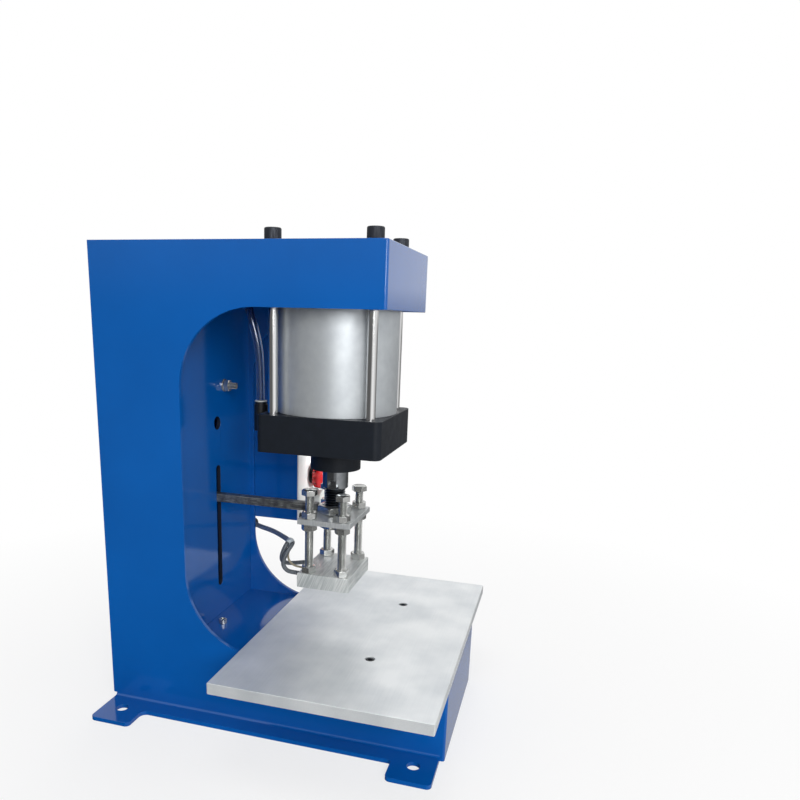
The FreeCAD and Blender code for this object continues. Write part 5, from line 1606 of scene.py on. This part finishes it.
@dataclass
class Studio:
    """Camera, floor and light. The bands are heights on a sphere round the machine, from -1 to 1."""

    spot: Point = (-0.77042, -0.24994, 0.46222)
    yaw: float = math.radians(-73.666)
    pitch: float = math.radians(13.666)
    roll: float = math.radians(1.469)
    lens: float = 31.91
    shift: tuple[float, float] = (0.05625, 0.1125)
    floor_white: tuple[float, float] = (0.25, 0.9)
    floor_glow: float = 0.7
    ambient: float = 0.23
    dark_side: float = 0.06
    dark_span: tuple[float, float] = (-0.5, 0.35)
    left_side: float = 0.66
    left_span: tuple[float, float] = (-0.8, 0.2)
    ground: float = 0.5
    low_dim: float = 0.55
    bands: dict[str, tuple[float, float]] = field(default_factory=lambda: {
        "upper": (-0.05, 0.34), "horizon": (-0.02, 0.04), "dim": (-0.32, -0.15), "ground": (-0.44, -0.32)})
    # Heading in degrees from +X, and the level there
    low_room: tuple[tuple[float, float], ...] = (
        (-180, 0.16), (-168, 0.4), (-152, 0.8), (-142, 0.95), (-112, 0.92), (-90, 0.66), (-70, 0.48), (-45, 0.18),
        (-10, 0.18), (20, 0.14), (50, 0.12), (180, 0.12))
    bright_side: Point = (0.35, -0.94, 0.0)
    lamps: tuple[Softbox, ...] = (
        Softbox((-1.85, -1.05, 1.1), (0.0, 0.05, 0.25), 1.2, 33.0),
        Softbox((0.4, -1.9, 1.2), (0.0, 0.0, 0.25), 1.2, 2.5),
        Softbox((0.1, 0.1, 2.2), (0.0, 0.0, 0.2), 1.6, 15.0),
        Softbox((0.15, -0.4, 0.335), (0.15, 0.083, 0.335), 0.06, 0.075, 0.26, math.radians(12), False),
        Softbox((1.9, 0.35, 0.9), (0.1, 0.1, 0.25), 1.2, 14.0, mirrored=False),
    )

    def build(self) -> None:
        """Set up the view, the floor, the world and the lamps."""
        scene = bpy.context.scene
        scene.view_settings.view_transform = "Standard"
        self.camera(scene)
        self.floor()
        self.world(scene)
        for index, softbox in enumerate(self.lamps):
            softbox.hang(scene, "softbox_%d" % index)

    def camera(self, scene: bpy.types.Scene) -> None:
        """The camera that saw the machine: place, turn and lens.

        Args:
            scene: the scene.
        """
        back = Vector((math.sin(self.yaw) * math.cos(self.pitch), -math.cos(self.yaw) * math.cos(self.pitch),
                       math.sin(self.pitch)))
        level = Vector((math.cos(self.yaw), math.sin(self.yaw), 0))
        above = level.cross(-back)
        right = level * math.cos(self.roll) + above * math.sin(self.roll)
        up = above * math.cos(self.roll) - level * math.sin(self.roll)
        data = bpy.data.cameras.new("camera")
        data.sensor_width = 36
        data.lens = self.lens
        data.shift_x, data.shift_y = self.shift
        data.clip_start = 0.01
        camera = bpy.data.objects.new("camera", data)
        camera.matrix_world = Matrix.Translation(self.spot) @ Matrix((right, up, back)).transposed().to_4x4()
        scene.collection.objects.link(camera)
        scene.camera = camera

    def floor(self) -> None:
        """A plain pale floor that turns to the white of the backdrop away from the machine."""
        clear_selection()
        bpy.ops.mesh.primitive_plane_add(size=16, location=(0, 0, -0.0002))
        floor = settle(named("floor"))
        floor.visible_glossy = False
        material = bpy.data.materials.new("pale_floor")
        material.use_nodes = True
        tree = material.node_tree
        shader = tree.nodes["Principled BSDF"]
        shader.inputs["Base Color"].default_value = linear("#f4f4f4")
        shader.inputs["Roughness"].default_value = 0.9
        here = add_node(tree, "TexCoord").outputs["Object"]
        reach = add_node(tree, "VectorMath", {0: here}, operation="LENGTH").outputs["Value"]
        near, far = self.floor_white
        share = add_node(tree, "MapRange", {"Value": reach, "From Min": near, "From Max": far,
                                            "To Min": self.floor_glow, "To Max": 1.0}).outputs["Result"]
        path = add_node(tree, "LightPath").outputs
        seen = add_node(tree, "Math", {0: path["Is Camera Ray"], 1: path["Is Transmission Ray"]}, operation="MAXIMUM")
        share = add_node(tree, "Math", {0: share, 1: seen.outputs[0]}, operation="MULTIPLY").outputs[0]
        white = add_node(tree, "Emission", {"Color": (1, 1, 1, 1), "Strength": 1.0}).outputs["Emission"]
        both = add_node(tree, "MixShader", {0: share, 1: shader.outputs["BSDF"], 2: white}).outputs["Shader"]
        tree.links.new(both, tree.nodes["Material Output"].inputs["Surface"])
        floor.data.materials.append(material)

    def world(self, scene: bpy.types.Scene) -> None:
        """Even light from all round: white where it is seen, and the room's own shades where it is mirrored.

        Args:
            scene: the scene.
        """
        world = bpy.data.worlds.new("studio")
        scene.world = world
        world.use_nodes = True
        tree = world.node_tree
        background = tree.nodes["Background"]
        background.inputs["Color"].default_value = (1, 1, 1, 1)
        around = add_node(tree, "TexCoord").outputs["Generated"]
        path = add_node(tree, "LightPath").outputs
        mirrored = add_node(tree, "Mix", {0: path["Is Glossy Ray"], 2: self.ambient, 3: self.room(tree, around)})
        seen = add_node(tree, "Math", {0: path["Is Camera Ray"], 1: path["Is Transmission Ray"]}, operation="MAXIMUM")
        strength = add_node(tree, "Mix", {0: seen.outputs[0], 2: mirrored.outputs[0], 3: 1.0}).outputs[0]
        tree.links.new(strength, background.inputs["Strength"])

    def room(self, tree: bpy.types.NodeTree, around: bpy.types.NodeSocket) -> bpy.types.NodeSocket:
        """How bright the mirrored room is each way: bright above, shaded to its dark side, and dim at the ground.

        Args:
            tree: the world's node tree.
            around: the way that is looked, as a vector.

        Returns:
            The brightness.
        """
        way = add_node(tree, "SeparateXYZ", {"Vector": around}).outputs
        band = {}
        for name, (start, end) in self.bands.items():
            band[name] = add_node(tree, "MapRange", {"Value": way["Z"], "From Min": start, "From Max": end}).outputs[0]
        lean = add_node(tree, "VectorMath", {0: around, 1: self.bright_side}, operation="DOT_PRODUCT").outputs["Value"]
        side = add_node(tree, "MapRange", {"Value": lean, "From Min": self.dark_span[0], "From Max": self.dark_span[1],
                                           "To Min": self.dark_side}).outputs["Result"]
        nearer = add_node(tree, "MapRange", {"Value": way["X"], "From Min": self.left_span[0],
                                             "From Max": self.left_span[1], "To Min": self.left_side}).outputs["Result"]
        side = add_node(tree, "Math", {0: side, 1: nearer}, operation="MULTIPLY").outputs[0]
        high = add_node(tree, "Math", {0: side, 1: band["upper"]}, operation="MAXIMUM").outputs[0]
        floor = add_node(tree, "Math", {0: side, 1: self.ground}, operation="MULTIPLY").outputs[0]
        dim = add_node(tree, "Mix", {0: band["dim"], 2: self.low_dim, 3: 1.0}).outputs[0]
        level = self.low_level(tree, way["X"], way["Y"])
        walls = add_node(tree, "Math", {0: level, 1: dim}, operation="MULTIPLY").outputs[0]
        low = add_node(tree, "Mix", {0: band["ground"], 2: floor, 3: walls}).outputs[0]
        return add_node(tree, "Mix", {0: band["horizon"], 2: low, 3: high}).outputs[0]

    def low_level(self, tree: bpy.types.NodeTree, x: bpy.types.NodeSocket,
                  y: bpy.types.NodeSocket) -> bpy.types.NodeSocket:
        """How bright the room's lower part is at each heading, from the stops of low_room.

        Args:
            tree: the world's node tree.
            x: how far to +X the way goes that is looked.
            y: how far to +Y it goes.

        Returns:
            The brightness.
        """
        heading = add_node(tree, "Math", {0: y, 1: x}, operation="ARCTAN2").outputs[0]
        share = add_node(tree, "MapRange", {"Value": heading, "From Min": -math.pi, "From Max": math.pi}).outputs[0]
        ramp = add_node(tree, "ValToRGB", {"Fac": share})
        stops = ramp.color_ramp.elements
        for degrees, level in self.low_room[1:-1]:
            stops.new((degrees + 180) / 360).color = (level,) * 3 + (1,)
        stops[0].color = (self.low_room[0][1],) * 3 + (1,)
        stops[-1].color = (self.low_room[-1][1],) * 3 + (1,)
        return ramp.outputs["Color"]


def main() -> None:
    """Build the machine and the studio."""
    logging.basicConfig(level=logging.INFO, format="%(message)s")
    for part in (Studio(), HeaterWiring(), AirLine(), WeldedFrame(), WorkTable(), AirCylinder(), Ram(),
                 HeatedHead(), ControlBox()):
        part.build()


if __name__ == "__main__":
    main()
